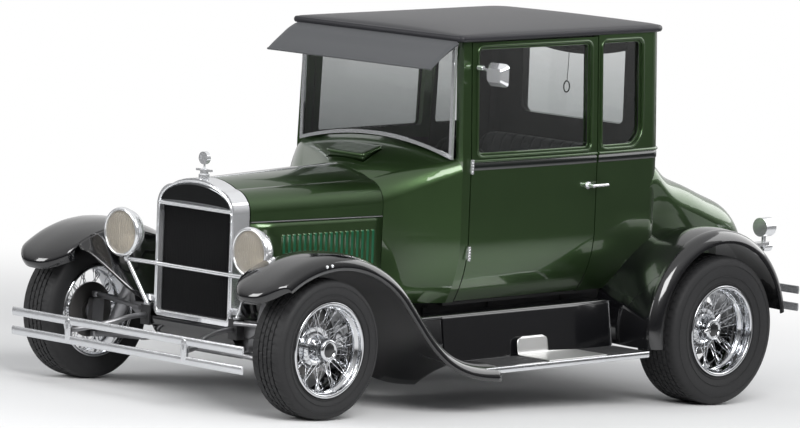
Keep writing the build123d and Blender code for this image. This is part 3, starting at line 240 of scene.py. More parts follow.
def cabin_paint(dash_y=0.53, wall_half=0.50, deck_y=1.0):
    """The green outside of the cabin's shell and its dark cloth lining inside: a face is inside
    where it looks towards the middle of the car, below the sill or behind the dashboard, or
    forwards at the rear wall, which reaches half its width to each side in front of the deck."""
    made = FINISHES["green_paint"].copy()
    made.name = "cabin_paint"
    tree = made.node_tree
    shine, place = tree.nodes["Principled BSDF"], add(tree, "TexCoord")
    spot = add(tree, "SeparateXYZ", {0: place.outputs["Object"]}).outputs
    look = add(tree, "SeparateXYZ", {0: place.outputs["Normal"]}).outputs
    across = worked(tree, "MULTIPLY", worked(tree, "SIGN", spot["X"]), look["X"])
    lined = worked(tree, "MAXIMUM", worked(tree, "LESS_THAN", spot["Z"], SILL_Z),
                   worked(tree, "GREATER_THAN", spot["Y"], dash_y))
    at_side = worked(tree, "MULTIPLY", worked(tree, "LESS_THAN", across, -0.3), lined)
    on_wall = worked(tree, "MULTIPLY", worked(tree, "LESS_THAN", worked(tree, "ABSOLUTE", spot["X"]),
                                              wall_half), worked(tree, "LESS_THAN", spot["Y"], deck_y))
    at_rear = worked(tree, "MULTIPLY", worked(tree, "LESS_THAN", look["Y"], -0.5), on_wall)
    inside = worked(tree, "MAXIMUM", at_side, at_rear)
    outside = worked(tree, "SUBTRACT", 1.0, inside)
    paint = tuple(shine.inputs["Base Color"].default_value)
    colour = add(tree, "Mix", {"A": paint, "B": (0.014, 0.013, 0.012, 1), "Factor": inside},
                 data_type="RGBA")
    rough = shine.inputs["Roughness"].links[0].from_socket
    plug(tree, shine, {"Base Color": colour.outputs["Result"],
                       "Roughness": worked(tree, "MAXIMUM", rough, worked(tree, "MULTIPLY", inside, 0.7)),
                       "Metallic": worked(tree, "MULTIPLY", outside, 0.80), "Coat Weight": outside})
    return made


FINISHES["cabin_paint"] = cabin_paint()

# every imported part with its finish; + stands for a left and a right one
PAINTED = {
    "green_paint": "cowl cowl_vent dashboard decklid hood_side+ hood_top+",
    "cabin_paint": "door+ rear_body",
    "black_paint": "front_fender+ rear_fender+ running_boards splash_pan",
    "chassis_black": "frame rear_axle fuel_tank steering_column radiator_core roof visor seat_back "
                     "seat_cushion floor",
    "chrome": "radiator_shell radiator_cap headlights headlight_bar hood_hinge mirror door_handle+ "
              "windshield_frame tail_lights front_wheel+ rear_wheel+",
    "dull_chrome": "front_bumper rear_bumper",
    "steel": "front_suspension knuckle+ track_rod exhaust",
    "engine_paint": "engine",
    "rubber": "front_tyre+ rear_tyre+ steering_wheel",
    "window_glass": "door_glass+ rear_glass headlight_lenses",
    "windshield_painted_shade": "windshield_glass",
}
for name, members in PAINTED.items():
    for member in members.split():
        hands = ("_left", "_right") if member.endswith("+") else ("",)
        for node in (member.rstrip("+") + hand for hand in hands):
            mesh = frame["nodes"][node].data
            mesh.materials.clear()
            mesh.materials.append(FINISHES[name])

# Tyres: black rubber, a ribbed road tread with cross cuts, bulging walls with thin raised rings.
# Small at the front and big at the rear, moulded, and held on the rims by air.
RAKE = math.radians(2.95)
FRONT_TYRE_R, REAR_TYRE_R, RIM_R = 306, 343, 207
FRONT_WHEEL_X, REAR_WHEEL_X = 729, 695
WHEELBASE = 2540


def dots(*places):
    """Points out of their separate coordinates; a bare number stands for all of them."""
    return np.stack(np.broadcast_arrays(*places), -1)


def unit(lines):
    """The same directions, each one long."""
    return lines / np.linalg.norm(lines, axis=-1, keepdims=True)


def full_turn(count):
    """Even angles once round."""
    return np.linspace(0, 2 * math.pi, count, endpoint=False)


def level(points):
    """To the row frame in metres, from millimetres in the car's own level frame: X to its left, Y
    rearwards from the front axle, Z up from the ground. The wheels stand so."""
    return (np.asarray(points, float) + (0, AXLE_Y * 1000, 0)) / 1000


def tipped(points):
    """The same for the body, which is also turned by its rake about the front axle."""
    x, y, z = np.moveaxis(np.asarray(points, float), -1, 0)
    rise = z - FRONT_TYRE_R
    return dots(x, y * math.cos(RAKE) - rise * math.sin(RAKE) + AXLE_Y * 1000,
                FRONT_TYRE_R + y * math.sin(RAKE) + rise * math.cos(RAKE)) / 1000


def smooth(keys, count):
    """Points on the curve that rounds off a chain of keys: the middles of the chain's runs are
    joined by parabolas whose handles are the keys, and the curve starts and ends on the end keys."""
    keys = np.asarray(keys, float)
    middles = (keys[:-1] + keys[1:]) / 2
    start, end = middles[:-1].copy(), middles[1:].copy()
    start[0], end[-1] = keys[0], keys[-1]
    t = np.linspace(0, len(keys) - 2, count)
    run = np.minimum(t.astype(int), len(keys) - 3)
    u = (t - run).reshape((-1,) + (1,) * (keys.ndim - 1))
    return (1 - u) ** 2 * start[run] + 2 * u * (1 - u) * keys[1:-1][run] + u ** 2 * end[run]


def quads(m, n, close_m, close_n):
    """Corners of each face of an m by n grid, going round at an edge that closes."""
    row = np.arange(m if close_m else m - 1)[:, None]
    column = np.arange(n if close_n else n - 1)[None, :]
    beyond, beside = (row + 1) % m, (column + 1) % n
    return dots(row * n + column, row * n + beside, beyond * n + beside, beyond * n + column).reshape(-1, 4)


def piece(name, grids, finishes, body="car_body", side=1, place=tipped, replaces=(), sharp=38,
          thick=0, edge=0, solid=False):
    """One object out of grids of points. Each grid is (points, closes along rows, closes along
    columns, finish number or one per face), or only its points where it closes along columns in
    the first finish. Points may hold many copies of one small grid."""
    corners, faces, numbers, start = [], [], [], 0
    for grid in grids:
        points, close_m, close_n, number = grid if isinstance(grid, tuple) else (grid, False, True, 0)
        points = np.asarray(points, float)
        m, n = points.shape[-3:-1]
        copies = points.reshape(-1, m * n, 3)
        one = quads(m, n, close_m, close_n)
        offsets = start + m * n * np.arange(len(copies))
        faces.append((offsets[:, None, None] + one).reshape(-1, 4))
        corners.append(copies.reshape(-1, 3))
        numbers.append(np.broadcast_to(number, (len(copies), len(one))).reshape(-1))
        start += copies.shape[0] * m * n
    corners = place(np.concatenate(corners) * (side, 1, 1))
    faces, numbers = np.concatenate(faces), np.concatenate(numbers)
    if side < 0:
        faces = faces[:, ::-1]
    mesh = bpy.data.meshes.new(name)
    mesh.from_pydata(corners.tolist(), [], faces.tolist())
    for called in finishes:
        mesh.materials.append(FINISHES[called])
    mesh.polygons.foreach_set("material_index", numbers.astype(np.int32))
    tidy = bmesh.new()
    tidy.from_mesh(mesh)
    bmesh.ops.remove_doubles(tidy, verts=tidy.verts, dist=2e-5)
    if solid:
        bmesh.ops.recalc_face_normals(tidy, faces=tidy.faces)
    tidy.to_mesh(mesh)
    tidy.free()
    mesh.shade_smooth()
    mesh.set_sharp_from_angle(angle=math.radians(sharp))
    made = bpy.data.objects.new(name, mesh)
    bpy.context.scene.collection.objects.link(made)
    if thick:
        wall = made.modifiers.new("wall", "SOLIDIFY")
        wall.thickness, wall.offset, wall.use_even_offset = thick / 1000, -1, True
    if edge:
        soft = made.modifiers.new("edge", "BEVEL")
        soft.width, soft.segments, soft.limit_method = edge / 1000, 2, "ANGLE"
        soft.angle_limit, soft.harden_normals = math.radians(40), True
    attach(made, body)
    if replaces:
        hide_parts(*replaces)
    return made


def turned(profile, columns):
    """A profile of (along the axle, radius) points carried once round the axle."""
    profile = np.asarray(profile, float)
    angle = full_turn(columns)
    along, radius = profile[:, None, 0], profile[:, None, 1]
    return dots(along, radius * np.sin(angle), radius * np.cos(angle))


def tyre(half, radius, seat, ribs, columns):
    """Wall, tread and wall in one profile. The tread is cut by straight grooves between the ribs,
    and by a slanted cut every few columns that steps sideways from rib to rib."""
    rise = radius - RIM_R
    # columns: place along the axle, share of the way up from the rim
    bulge = ((seat + 5, 0.12), (half - 2, 0.36), (half + 1.5, 0.60), (half - 3, 0.82), (half - 13, 0.945))
    wall = smooth([(seat - 5, 200), (seat, 208), *((x, RIM_R + share * rise) for x, share in bulge),
                   (half - 30, radius - 2.6)], 22)
    flat = half - 30
    pitch = 2 * flat / ribs
    lines = (np.arange(1, ribs) * pitch - flat)[:, None] + np.array((-3.6, -2.6, 2.6, 3.6))
    between = (np.arange(ribs) + 0.5) * pitch - flat
    x = np.sort(np.concatenate((lines.ravel(), between)))[::-1]
    tread = dots(x, radius - 2.6 * (x / flat) ** 2)
    profile = np.concatenate((wall, tread, wall[::-1] * (-1, 1)))
    grid = turned(profile, columns)
    depth = np.zeros(grid.shape[:2])
    rows = slice(len(wall), len(wall) + len(tread))
    off = np.abs(x[:, None] - np.append(lines.mean(1), 1e6)).min(1)
    rib = np.floor((x + flat) / pitch)
    cut = (np.arange(columns)[None, :] + 2 * rib[:, None]) % 6 == 0
    depth[rows] = np.where(off[:, None] < 3, 6.5, np.where(cut, 3.5, 0))
    shoulder = np.arange(columns) % 6 == 3
    for last in (len(wall) - 1, len(wall) - 2, len(wall) + len(tread), len(wall) + len(tread) + 1):
        depth[last] = np.where(shoulder, 3.0, 0)
    scale = 1 - depth / np.hypot(grid[..., 1], grid[..., 2])
    return grid * dots(1, scale, scale)


def ring_bead(x, radius, size):
    """A thin raised ring on a tyre's wall: a small half round carried round the axle."""
    turn = np.linspace(0, math.pi, 5)
    return turned(dots(x + size * np.sin(turn), radius + size * np.cos(turn)), 96)


finish("tyre_rubber", (0.020, 0.020, 0.021), (60, 0.55, 0.75, 0.25, 0.0006), Specular_IOR_Level=0.35)
# columns: node, side, body, place across, along, radius, half width, seat, ribs, columns round
TYRES = (
    ("front_tyre_left", 1, "wheel_front_left", FRONT_WHEEL_X, 0, FRONT_TYRE_R, 95, 78, 5, 288),
    ("front_tyre_right", -1, "wheel_front_right", FRONT_WHEEL_X, 0, FRONT_TYRE_R, 95, 78, 5, 288),
    ("rear_tyre_left", 1, "wheel_rear_left", REAR_WHEEL_X, WHEELBASE, REAR_TYRE_R, 125, 107, 7, 324),
    ("rear_tyre_right", -1, "wheel_rear_right", REAR_WHEEL_X, WHEELBASE, REAR_TYRE_R, 125, 107, 7, 324),
)
for node, side, body, across, along, radius, half, seat, ribs, columns in TYRES:
    middle = (across, along, radius)
    rise = radius - RIM_R
    rings = [ring_bead(x, RIM_R + share * rise, size) + middle for x, share, size in
             ((half - 2.5, 0.33, 1.6), (half - 1.0, 0.70, 1.2), (seat + 6.0, 0.10, 2.0))]
    piece(node + "_rubber", [tyre(half - 1.5, radius - 0.2, seat, ribs, columns) + middle, *rings],
          ["tyre_rubber"], body, side, level, [node], sharp=28)

# Wire wheels: a rolled and plated rim, a hub with a dished flange and a big cap, and three
# rows of crossed steel spokes laced by hand between them, each with its nipple at the rim.


def wires(feet, heads, radius, sides=6):
    """Straight round wires: a ring of points about each wire's line, at its foot and its head."""
    feet, heads = np.asarray(feet, float), np.asarray(heads, float)
    run = unit(heads - feet)
    ahead = unit(np.cross(run, (1.0, 0.02, 0.03)))
    beside = np.cross(run, ahead)
    turn = full_turn(sides)
    loop = radius * (np.cos(turn)[:, None] * ahead[..., None, :]
                     + np.sin(turn)[:, None] * beside[..., None, :])
    return np.stack((feet[..., None, :] + loop, heads[..., None, :] + loop), -3)


def lacing(count, hub_x, hub_r, rim_x, rim_r, lead, start):
    """Feet and heads of one row: evenly spaced feet, each head turned ahead or behind in turn."""
    i = np.arange(count)
    foot = 2 * math.pi * (i + start) / count
    head = foot + np.where(i % 2, 1, -1) * math.radians(lead)
    return [dots(x, r * np.sin(a), r * np.cos(a))
            for x, r, a in ((hub_x, hub_r, foot), (rim_x, rim_r, head))]


def rim(half, well):
    """The rim's wall from lip to lip: rolled edges, bead seats and the deep well for the spokes."""
    inside = smooth([(half - 7, 207.5), (half, 208), (half + 0.5, 198), (half - 4, 193), (half - 14, 192.5),
                     (half - 20, 190), (well + 30, 189), (well + 22, 184), (well + 14, 177),
                     (well - 34, 176.5), (well - 44, 180), (well - 56, 189), (-half + 20, 190),
                     (-half + 12, 193), (-half + 2, 196), (-half, 204), (-half + 6, 207.5)], 64)
    return turned(np.concatenate((inside, inside[::-1] + (0, 1.8))), 96)


finish("cap_black", (0.012, 0.012, 0.013), Roughness=0.25, Coat_Weight=0.6)
finish("brake_iron", (0.16, 0.155, 0.15), (40, 0.3, 0.5), Metallic=0.9)

# columns: node, side, body, across, along, radius, rim half, well, hub outer face, spinner legs
WHEELS = (
    ("front_wheel_left", 1, "wheel_front_left", FRONT_WHEEL_X, 0, FRONT_TYRE_R, 87.5, 40, 90, 0),
    ("front_wheel_right", -1, "wheel_front_right", FRONT_WHEEL_X, 0, FRONT_TYRE_R, 87.5, 40, 90, 0),
    ("rear_wheel_left", 1, "wheel_rear_left", REAR_WHEEL_X, WHEELBASE, REAR_TYRE_R, 116.5, 34, 68, 3),
    ("rear_wheel_right", -1, "wheel_rear_right", REAR_WHEEL_X, WHEELBASE, REAR_TYRE_R, 116.5, 34, 68, 3),
)
for node, side, body, across, along, radius, half, well, out, legs in WHEELS:
    middle = (across, along, radius)
    flange = turned(smooth([(-14, 40), (-16, 70), (-14, 92), (-9, 94), (-5, 92), (-7, 84), (-8, 66),
                            (-2, 52), (6, 46), (out - 44, 40), (out - 36, 38)], 40), 72)
    cap = turned(smooth([(out - 40, 30), (out - 37, 50), (out - 33, 52), (out - 28, 52), (out - 10, 49.5),
                         (out - 3, 46), (out, 40), (out, 34), (out - 3, 32), (out - 5, 30)], 34), 72)
    dome = turned(smooth([(out - 5, 30.5), (out - 4, 30), (out - 1.5, 20), (out - 0.5, 8),
                          (out - 0.5, 0)], 14), 48)
    drum = turned([(-36, 52), (-36, 121), (-35, 123), (-25, 123), (-24, 121), (-24, 52)], 72)
    barrel = turned([(-40, 21), (-40, 50), (-16, 50), (-14, 40)], 48)
    grids = [(rim(half, well) + middle, True, True, 0), flange + middle, cap + middle,
             (dome + middle, False, True, 1), (drum + middle, False, True, 2),
             (barrel + middle, False, True, 2)]
    # columns: spokes, hub place, hub radius, rim place, lead, start
    rows = ((24, out - 38, 39, well + 6, 21, 0.0), (24, -4, 88, well - 10, 9, 0.25),
            (24, -14, 89, well - 26, -12, 0.75))
    for count, hub_x, hub_r, rim_x, lead, start in rows:
        feet, heads = lacing(count, hub_x, hub_r, rim_x, 178, lead, start)
        grids.append(wires(feet, heads, 1.55) + middle)
        nipples = heads + (feet - heads) * (13 / np.linalg.norm(feet - heads, axis=-1))[:, None]
        grids.append(wires(nipples, heads, 2.8) + middle)
    if legs:
        turn = np.arange(legs) * 2 * math.pi / legs + 0.4
        tips = dots(out - 1.0, 74 * np.sin(turn), 74 * np.cos(turn))
        roots = dots(out - 8.0, 22 * np.sin(turn), 22 * np.cos(turn))
        t = np.linspace(0, 1, 9)
        swell = 13 - 7 * t + 3 * np.sin(math.pi * t) ** 2
        around = full_turn(12)
        spine = roots[:, None] + (tips - roots)[:, None] * t[:, None]
        sideways = dots(0, np.cos(turn), -np.sin(turn))
        wide = (swell[:, None] * np.cos(around))[None, ..., None] * sideways[:, None, None]
        loops = spine[:, :, None] + wide + dots(5.0 * np.sin(around), 0, 0)
        ends = loops.mean(2, keepdims=True) * np.ones((1, 1, 12, 1))
        loops = np.concatenate((ends[:, :1], loops, ends[:, -1:]), 1)
        grids.append(loops + middle)
    piece(node + "_laced", grids, ["wheel_plate", "cap_black", "brake_iron"], body, side, level, [node],
          sharp=40)

# Mouldings of the body: pressed and filled steel beads round the windows and along the belt,
# painted with the body. Under the belt's bead a band is coloured black as a painted reflection.
# The doors carry their own.
SIDE_LINE = np.polyfit(np.array((1085, 1500, 1930, 2385)) - 1700, (524, 546, 552, 534), 3)
FOOT_LINE = np.polyfit(np.array((1085, 1500, 1930, 2385)) - 1700, (445, 450, 450, 440), 3)


def side_x(y, z):
    """How far out the cabin's side stands: a cubic along the car, upright up to the belt, leaning
    in by 22 mm in 531 above it, and below 700 mm turned under to the foot by a power of 2.25."""
    half, foot = np.polyval(SIDE_LINE, y - 1700), np.polyval(FOOT_LINE, y - 1700)
    under = np.clip((700 - z) / 304, 0, 1)
    return half - (half - foot) * under ** 2.25 - 22 * np.clip((z - 1035) / 531, 0, None)


def outline(front, rear, low, high, radii):
    """A rounded window's outline in the upright plane along the car: four quarter circles, one
    radius a corner from front low round by rear low, joined by straight runs of even points."""
    quarter = np.linspace(0, math.pi / 2, 9)
    corners = ((front + radii[0], low + radii[0], radii[0], math.pi),
               (rear - radii[1], low + radii[1], radii[1], 1.5 * math.pi),
               (rear - radii[2], high - radii[2], radii[2], 0),
               (front + radii[3], high - radii[3], radii[3], math.pi / 2))
    arcs = [dots(a + r * np.cos(start + quarter), b + r * np.sin(start + quarter))
            for a, b, r, start in corners]
    runs = [np.linspace(here[-1], there[0], 14)[1:-1] for here, there in zip(arcs, arcs[1:] + arcs[:1])]
    return np.concatenate([part for pair in zip(arcs, runs) for part in pair])


def swept(path, profile, out, closed=False):
    """A small outline carried along a path. Each of its points stands off the path by its first
    number along the outward direction and by its second across both the path and outward. The
    ends of an open path are drawn together to close them."""
    path, profile = np.asarray(path, float), np.asarray(profile, float)
    run = unit(np.roll(path, -1, 0) - np.roll(path, 1, 0) if closed else np.gradient(path, axis=0))
    out = np.broadcast_to(np.asarray(out, float), path.shape)
    out = unit(out - (out * run).sum(-1, keepdims=True) * run)
    grid = (path[:, None] + profile[None, :, :1] * out[:, None]
            + profile[None, :, 1:] * np.cross(run, out)[:, None])
    if closed:
        return grid
    ends = grid.mean(1, keepdims=True) * np.ones((1, len(profile), 1))
    return np.concatenate((ends[:1], grid, ends[-1:]))


def round_wire(radius, sides=10):
    """The round outline that a bead or rod is swept from."""
    turn = full_turn(sides)
    return dots(radius * np.cos(turn), radius * np.sin(turn))


def hoop(path, profile, out):
    """An outline swept round a closed path, as a grid that closes both ways."""
    return swept(path, profile, out, True), True, True, 0


def on_side(line, off=0.0):
    """Points of the upright plane along the car, laid on the cabin's side."""
    return dots(side_x(line[:, 0], line[:, 1]) + off, line[:, 0], line[:, 1])


finish("channel_rubber", (0.012, 0.012, 0.012), Roughness=0.7)
finish("belt_painted_reflection", (0.005, 0.007, 0.006), (9, 0.12, 0.2), Coat_Weight=1.0, Coat_Roughness=0.02)
SIDES = ((1, "left"), (-1, "right"))
# columns: name, carried by the doors, front, rear, low, high, corner radii
WINDOWS = (
    ("door_window", True, 1180, 1876, 1062, 1532, (22, 22, 22, 22)),
    ("quarter_window", False, 1962, 2226, 1062, 1532, (24, 84, 24, 24)),
)
for name, moves, front, rear, low, high, radii in WINDOWS:
    around = on_side(outline(front - 11, rear + 11, low - 11, high + 11, [r + 11 for r in radii]))
    seat = on_side(outline(front - 1, rear + 1, low - 1, high + 1, radii), -15)
    sill = on_side(outline(front + 2, rear - 2, low + 2, high - 2, radii), -12)
    for side, hand in SIDES:
        body = f"door_{hand}" if moves else "car_body"
        piece(f"{name}_bead_{hand}", [hoop(around, round_wire(6.5, 12), (1, 0, 0)),
                                      hoop(sill, round_wire(4.5, 8), (1, 0, 0))],
              ["green_paint"], body, side, solid=True)
        piece(f"{name}_channel_{hand}", [hoop(seat, [(-3, -7), (3, -7), (3, 5), (-3, 5)], (1, 0, 0))],
              ["channel_rubber"], body, side, solid=True)

# columns: along out from the side, down from the middle of the belt
BELT = ((-4, 24), (1.5, 24), (3, 22), (3, -6), (1.5, -8), (1.5, -10), (5, -12), (7.5, -15), (8, -18),
        (7, -21), (4, -24), (-4, -24))
BELT_Z = 1016
# painted reflection: the flat band below the bead is coloured black for the dark reflection along the
# moulding
belt_reflection_band = np.repeat((1, 0), (5, 7))


def belt(path, out, name, body, side):
    """The belt moulding along one stretch: a flat band with a half-round bead along its top."""
    grid = swept(path, BELT, out)
    piece(name, [(grid, False, True, np.tile(belt_reflection_band, len(grid) - 1))], ["green_paint", "belt_painted_reflection"],
          body, side, solid=True, sharp=50)


corner = np.linspace(0, math.pi / 2, 12)
TURN_Y, CORNER_R = 2300, 85
turn_x = side_x(TURN_Y, BELT_Z) - CORNER_R
for side, hand in SIDES:
    along_door = on_side(dots(np.linspace(1142, 1921, 40), BELT_Z))
    belt(along_door, (1, 0, 0), f"belt_door_{hand}", f"door_{hand}", side)
    along_side = on_side(dots(np.linspace(1935, TURN_Y, 22), BELT_Z))
    bend = dots(turn_x + CORNER_R * np.cos(corner), TURN_Y + CORNER_R * np.sin(corner), BELT_Z)
    across_back = dots(np.linspace(turn_x, 0.5, 18), TURN_Y + CORNER_R, BELT_Z)
    path = np.concatenate((along_side, bend[1:], across_back[1:]))
    out = np.concatenate((along_side * 0 + (1, 0, 0), dots(np.cos(corner), np.sin(corner), 0)[1:],
                          across_back[1:] * 0 + (0, 1, 0)))
    belt(path, out, f"belt_rear_{hand}", "car_body", side)

# the raised frame round the rear window
back_line = outline(-331, 331, 1111, 1489, (39, 39, 39, 39))
frame_path = dots(back_line[:, 0], 2386.0, back_line[:, 1])
piece("rear_window_bead", [hoop(frame_path, round_wire(6.5, 12), (0, 1, 0))], ["green_paint"],
      solid=True)

# Door hinges: two plated barrels on each door's front edge, each with knuckles round one pin,
# screwed to the door post through a flat leaf.
HINGE_X, HINGE_Y = 538, 1131
heights = np.array([0, 0, 1, 12, 13, 14, 25, 26, 27, 38, 39, 40, 51, 52, 53, 64, 65, 65])[:, None] - 32.0
sizes = np.array([0, 6, 8, 8, 7, 8, 8, 7, 8, 8, 7, 8, 8, 7, 8, 8, 6, 0])[:, None]
turn = full_turn(20)
for side, hand in SIDES:
    grids = []
    for z in (1010, 622):
        grids.append(dots(HINGE_X + sizes * np.cos(turn), HINGE_Y + sizes * np.sin(turn), z + heights))
        leaf = np.linspace((side_x(HINGE_Y, z) - 4, HINGE_Y - 2, z), (HINGE_X, HINGE_Y - 2, z), 3)
        grids.append(swept(leaf, [(-2, -26), (2, -26), (2, 26), (-2, 26)], (0, 1, 0)))
    piece(f"door_hinges_{hand}", grids, ["chrome"], side=side, solid=True, edge=0.6)

# Radiator front: over the plated shell lie a round bead along its arch, a plated panel under the
# arch coloured darker than the shell as painted shade in its recess, and the bright bar and edges
# of the grille, all soldered on.
SHELL_Y = -42.0
GRILLE_HALF, GRILLE_LOW, GRILLE_HIGH = 228, 362, 836


def shell_line(half, shoulder, crown, count=60):
    """The shell's arch from side to side: half an ellipse on the shoulders."""
    turn = np.linspace(0, math.pi, count)
    return dots(half * np.cos(turn), shoulder + (crown - shoulder) * np.sin(turn))


# painted shade: the recessed panel under the arch is a darker copy of the plating
finish("recess_painted_shade", (0.16, 0.165, 0.17), (12, 0.06, 0.14), Metallic=1.0)
arch = shell_line(225, 841, 951)
arch_path = dots(arch[:, 0], SHELL_Y - 1, arch[:, 1])
opening = outline(-GRILLE_HALF, GRILLE_HALF, GRILLE_LOW, GRILLE_HIGH, (18, 18, 12, 12))
opening_path = dots(opening[:, 0], SHELL_Y - 1, opening[:, 1])
bar = dots((-226, -100, 0, 100, 226), SHELL_Y - 3.5, 841.0)
within = shell_line(219, 846, 945, 41)
rows = np.linspace(0, 1, 9)[:, None, None]
panel = within * (1 - rows) + dots(within[:, 0], 850) * rows
bulge = 5 * np.sin(math.pi * rows[..., 0] * 0.5) * (1 - (within[:, 0] / 214) ** 2)
panel = dots(panel[..., 0], SHELL_Y - 2 - bulge * 0.4, panel[..., 1])
piece("radiator_beads", [swept(arch_path, round_wire(5, 12), (0, -1, 0)),
                         hoop(opening_path, round_wire(4.5, 12), (0, -1, 0)),
                         swept(bar, round_wire(5.5, 12), (0, -1, 0))],
      ["chrome"], solid=True)
piece("radiator_panel", [(panel, False, False, 0)], ["recess_painted_shade"], thick=1.2)
FINS = 44
fin = np.linspace(-220, 220, FINS)
across = (fin[:, None] + np.array((-3.6, -1.2, -0.8, 0.8, 1.2, 3.6))).ravel()
depth = np.tile((0.0, 0.0, -9.0, -9.0, 0.0, 0.0), FINS)
fins = np.stack([dots(across, depth - 7.5, z) for z in (366, 480, 600, 720, 834)])
piece("radiator_fins", [(fins, False, False, 0)], ["chassis_black"], sharp=20)

# Headlights: a fluted glass in each plated rim, a silvered bowl behind it and a small bulb.
LAMP_X, LAMP_Y, LAMP_Z = 406, -100, 690
finish("fluted_glass", (0.60, 0.56, 0.49), Roughness=0.10, IOR=1.45, Transmission_Weight=0.62)
finish("silvered_bowl", (0.86, 0.84, 0.78), (20, 0.22, 0.34), Metallic=1.0)


def disc(profile, columns, x=LAMP_X, y=LAMP_Y, z=LAMP_Z):
    """A profile of (radius, rearwards) points turned about a line along the car, a lamp's own
    axis where no other is given."""
    profile = np.asarray(profile, float)
    turn = -full_turn(columns)
    return dots(x + profile[:, :1] * np.cos(turn), y + profile[:, 1:], z + profile[:, :1] * np.sin(turn))


for side, hand in SIDES:
    r = np.linspace(0, 95.5, 40)
    dome = disc(dots(r, -12 + 14 * (r / 96) ** 2), 240)
    flutes = np.abs(np.sin(math.pi * (dome[..., 0] - LAMP_X) / 12.5))
    dome[..., 1] += np.clip((92 - r[:, None]) / 8, 0, 1) * 3.0 * flutes
    back = disc(dots(r[::-1], 6.0), 240)
    piece(f"headlight_glass_{hand}", [np.concatenate((dome, back))], ["fluted_glass"], side=side,
          replaces=["headlight_lenses"], solid=True, sharp=50)
    bowl = disc(dots(r, 66 - 56 * (r / 95.5) ** 2), 72)
    bulb = disc(smooth([(0, 30), (9, 30), (11, 38), (9, 50), (8, 64)], 14), 24)
    piece(f"headlight_bowl_{hand}", [bowl, (bulb, False, True, 1)], ["silvered_bowl", "fluted_glass"],
          side=side)
    rim_line = smooth([(94, 2), (94, -5), (98, -8), (104, -7), (109, -2), (110, 6), (109, 16), (105, 20),
                       (101, 21)], 30)
    piece(f"headlight_rim_{hand}", [disc(rim_line, 96)], ["chrome"], side=side)

# Hood sides: flat steel sheets with a bank of pressed louvres, each a scoop that rises towards the tail
# and is cut open at its rear edge. Their raised faces carry a painted highlight and their mouths
# painted shade. They hang from the tops on hinge rods.
HOOD_FRONT, HOOD_REAR, HOOD_IN, HOOD_OUT = 60, 811, 242, 305
# painted highlight: the raised louvres get a lighter, more saturated green than the paint of the sheet
finish("louvre_painted_highlight", (0.008, 0.120, 0.052), (12, 0.24, 0.34), Metallic=0.4, Coat_Weight=1.0,
       Coat_Roughness=0.02)
# painted shade: near black on the steep rear face of each louvre, where the slot stands open
finish("louvre_mouth_painted_shade", (0.002, 0.003, 0.002), Roughness=0.8)
run = np.array((HOOD_OUT - HOOD_IN, HOOD_REAR - HOOD_FRONT), float)
length = np.hypot(*run)
ahead, outward = run / length, np.array((run[1], -run[0])) / length
LOUVRES, PITCH, LOUVRE_MID, LOUVRE_HALF = 18, 30, 637, 94
middles = length - 57 - PITCH * np.arange(LOUVRES)[::-1]
bumps = np.array((-11, -9, -6.5, -3.5, 0, 3.5, 6.5, 8, 8.2, 8.8, 11))
rises = np.array((0, 0.6, 2.4, 4.6, 6.3, 7.3, 7.7, 7.6, 0.4, 0.0, 0))
u = np.concatenate(([0.5], (middles[:, None] + bumps).ravel(), [length - 0.5]))
rise = np.concatenate(([0], np.tile(rises, LOUVRES), [0]))
v = np.concatenate(([400, 470], LOUVRE_MID - LOUVRE_HALF + np.array((-1, 0, 1, 2.5, 5, 8, 12, 17)),
                    np.linspace(LOUVRE_MID - 60, LOUVRE_MID + 60, 5),
                    LOUVRE_MID + LOUVRE_HALF - np.array((17, 12, 8, 5, 2.5, 1, 0, -1)), [760, 786.5]))
taper = np.sqrt(np.clip(1 - np.clip((np.abs(v - LOUVRE_MID) - (LOUVRE_HALF - 14)) / 14, 0, 1) ** 2, 0, 1))
height = rise[None, :] * taper[:, None]
sheet_grid = dots(HOOD_IN + u * ahead[0] + height * outward[0],
                  HOOD_FRONT + u * ahead[1] + height * outward[1], v[:, None])
sheet_grid[-1, :, 2] = 790 - 7 * u / length
# the raised faces take the painted highlight and the steep mouths the painted shade
raised = (height[:-1, :-1] + height[1:, 1:] + height[:-1, 1:] + height[1:, :-1]) > 15
shaded_mouth = np.append(False, np.tile(np.arange(len(bumps)) == 7, LOUVRES))
colours = np.where(raised, np.where(shaded_mouth, 2, 1), 0)
for side, hand in SIDES:
    piece(f"hood_side_pressed_{hand}", [(sheet_grid, False, False, colours.ravel())],
          ["green_paint", "louvre_painted_highlight", "louvre_mouth_painted_shade"], f"hood_side_{hand}", side,
          replaces=[f"hood_side_{hand}"], thick=3.5, sharp=35)
    ends = np.linspace((HOOD_IN + 2.0, HOOD_FRONT + 2, 792), (HOOD_OUT + 1.0, HOOD_REAR - 2, 785), 24)
    piece(f"hood_side_hinge_{hand}", [swept(ends, round_wire(3.0), (1, 0, 0))], ["steel"],
          f"hood_top_{hand}", side, solid=True)

# Front fenders: crowned steel blades with a deep rolled lip, black enamel. Each sweeps from a
# rounded tip over the wheel and down to the running board, and an apron joins it to the frame.
LIP_X, CROWN_X, NOTCH_X, RAIL_X = 832, 690, 526, 309
TIP, CROWN, KNEE_START, KNEE, LANDING = (-390, 552), (-40, 712), (480, 519), (600, 380), (1062, 160)


def circle_through(a, b, c, count):
    """Even points of the circle's arc from a through b to c, in the plane."""
    a, b, c = (np.asarray(p, float) for p in (a, b, c))
    system = 2 * np.stack((b - a, c - a))
    centre = np.linalg.solve(system, np.array((b @ b - a @ a, c @ c - a @ a)))
    angles = np.unwrap([math.atan2(*(p - centre)[::-1]) for p in (a, b, c)])
    turn = np.linspace(angles[0], angles[2], count)
    return centre + np.linalg.norm(a - centre) * dots(np.cos(turn), np.sin(turn))


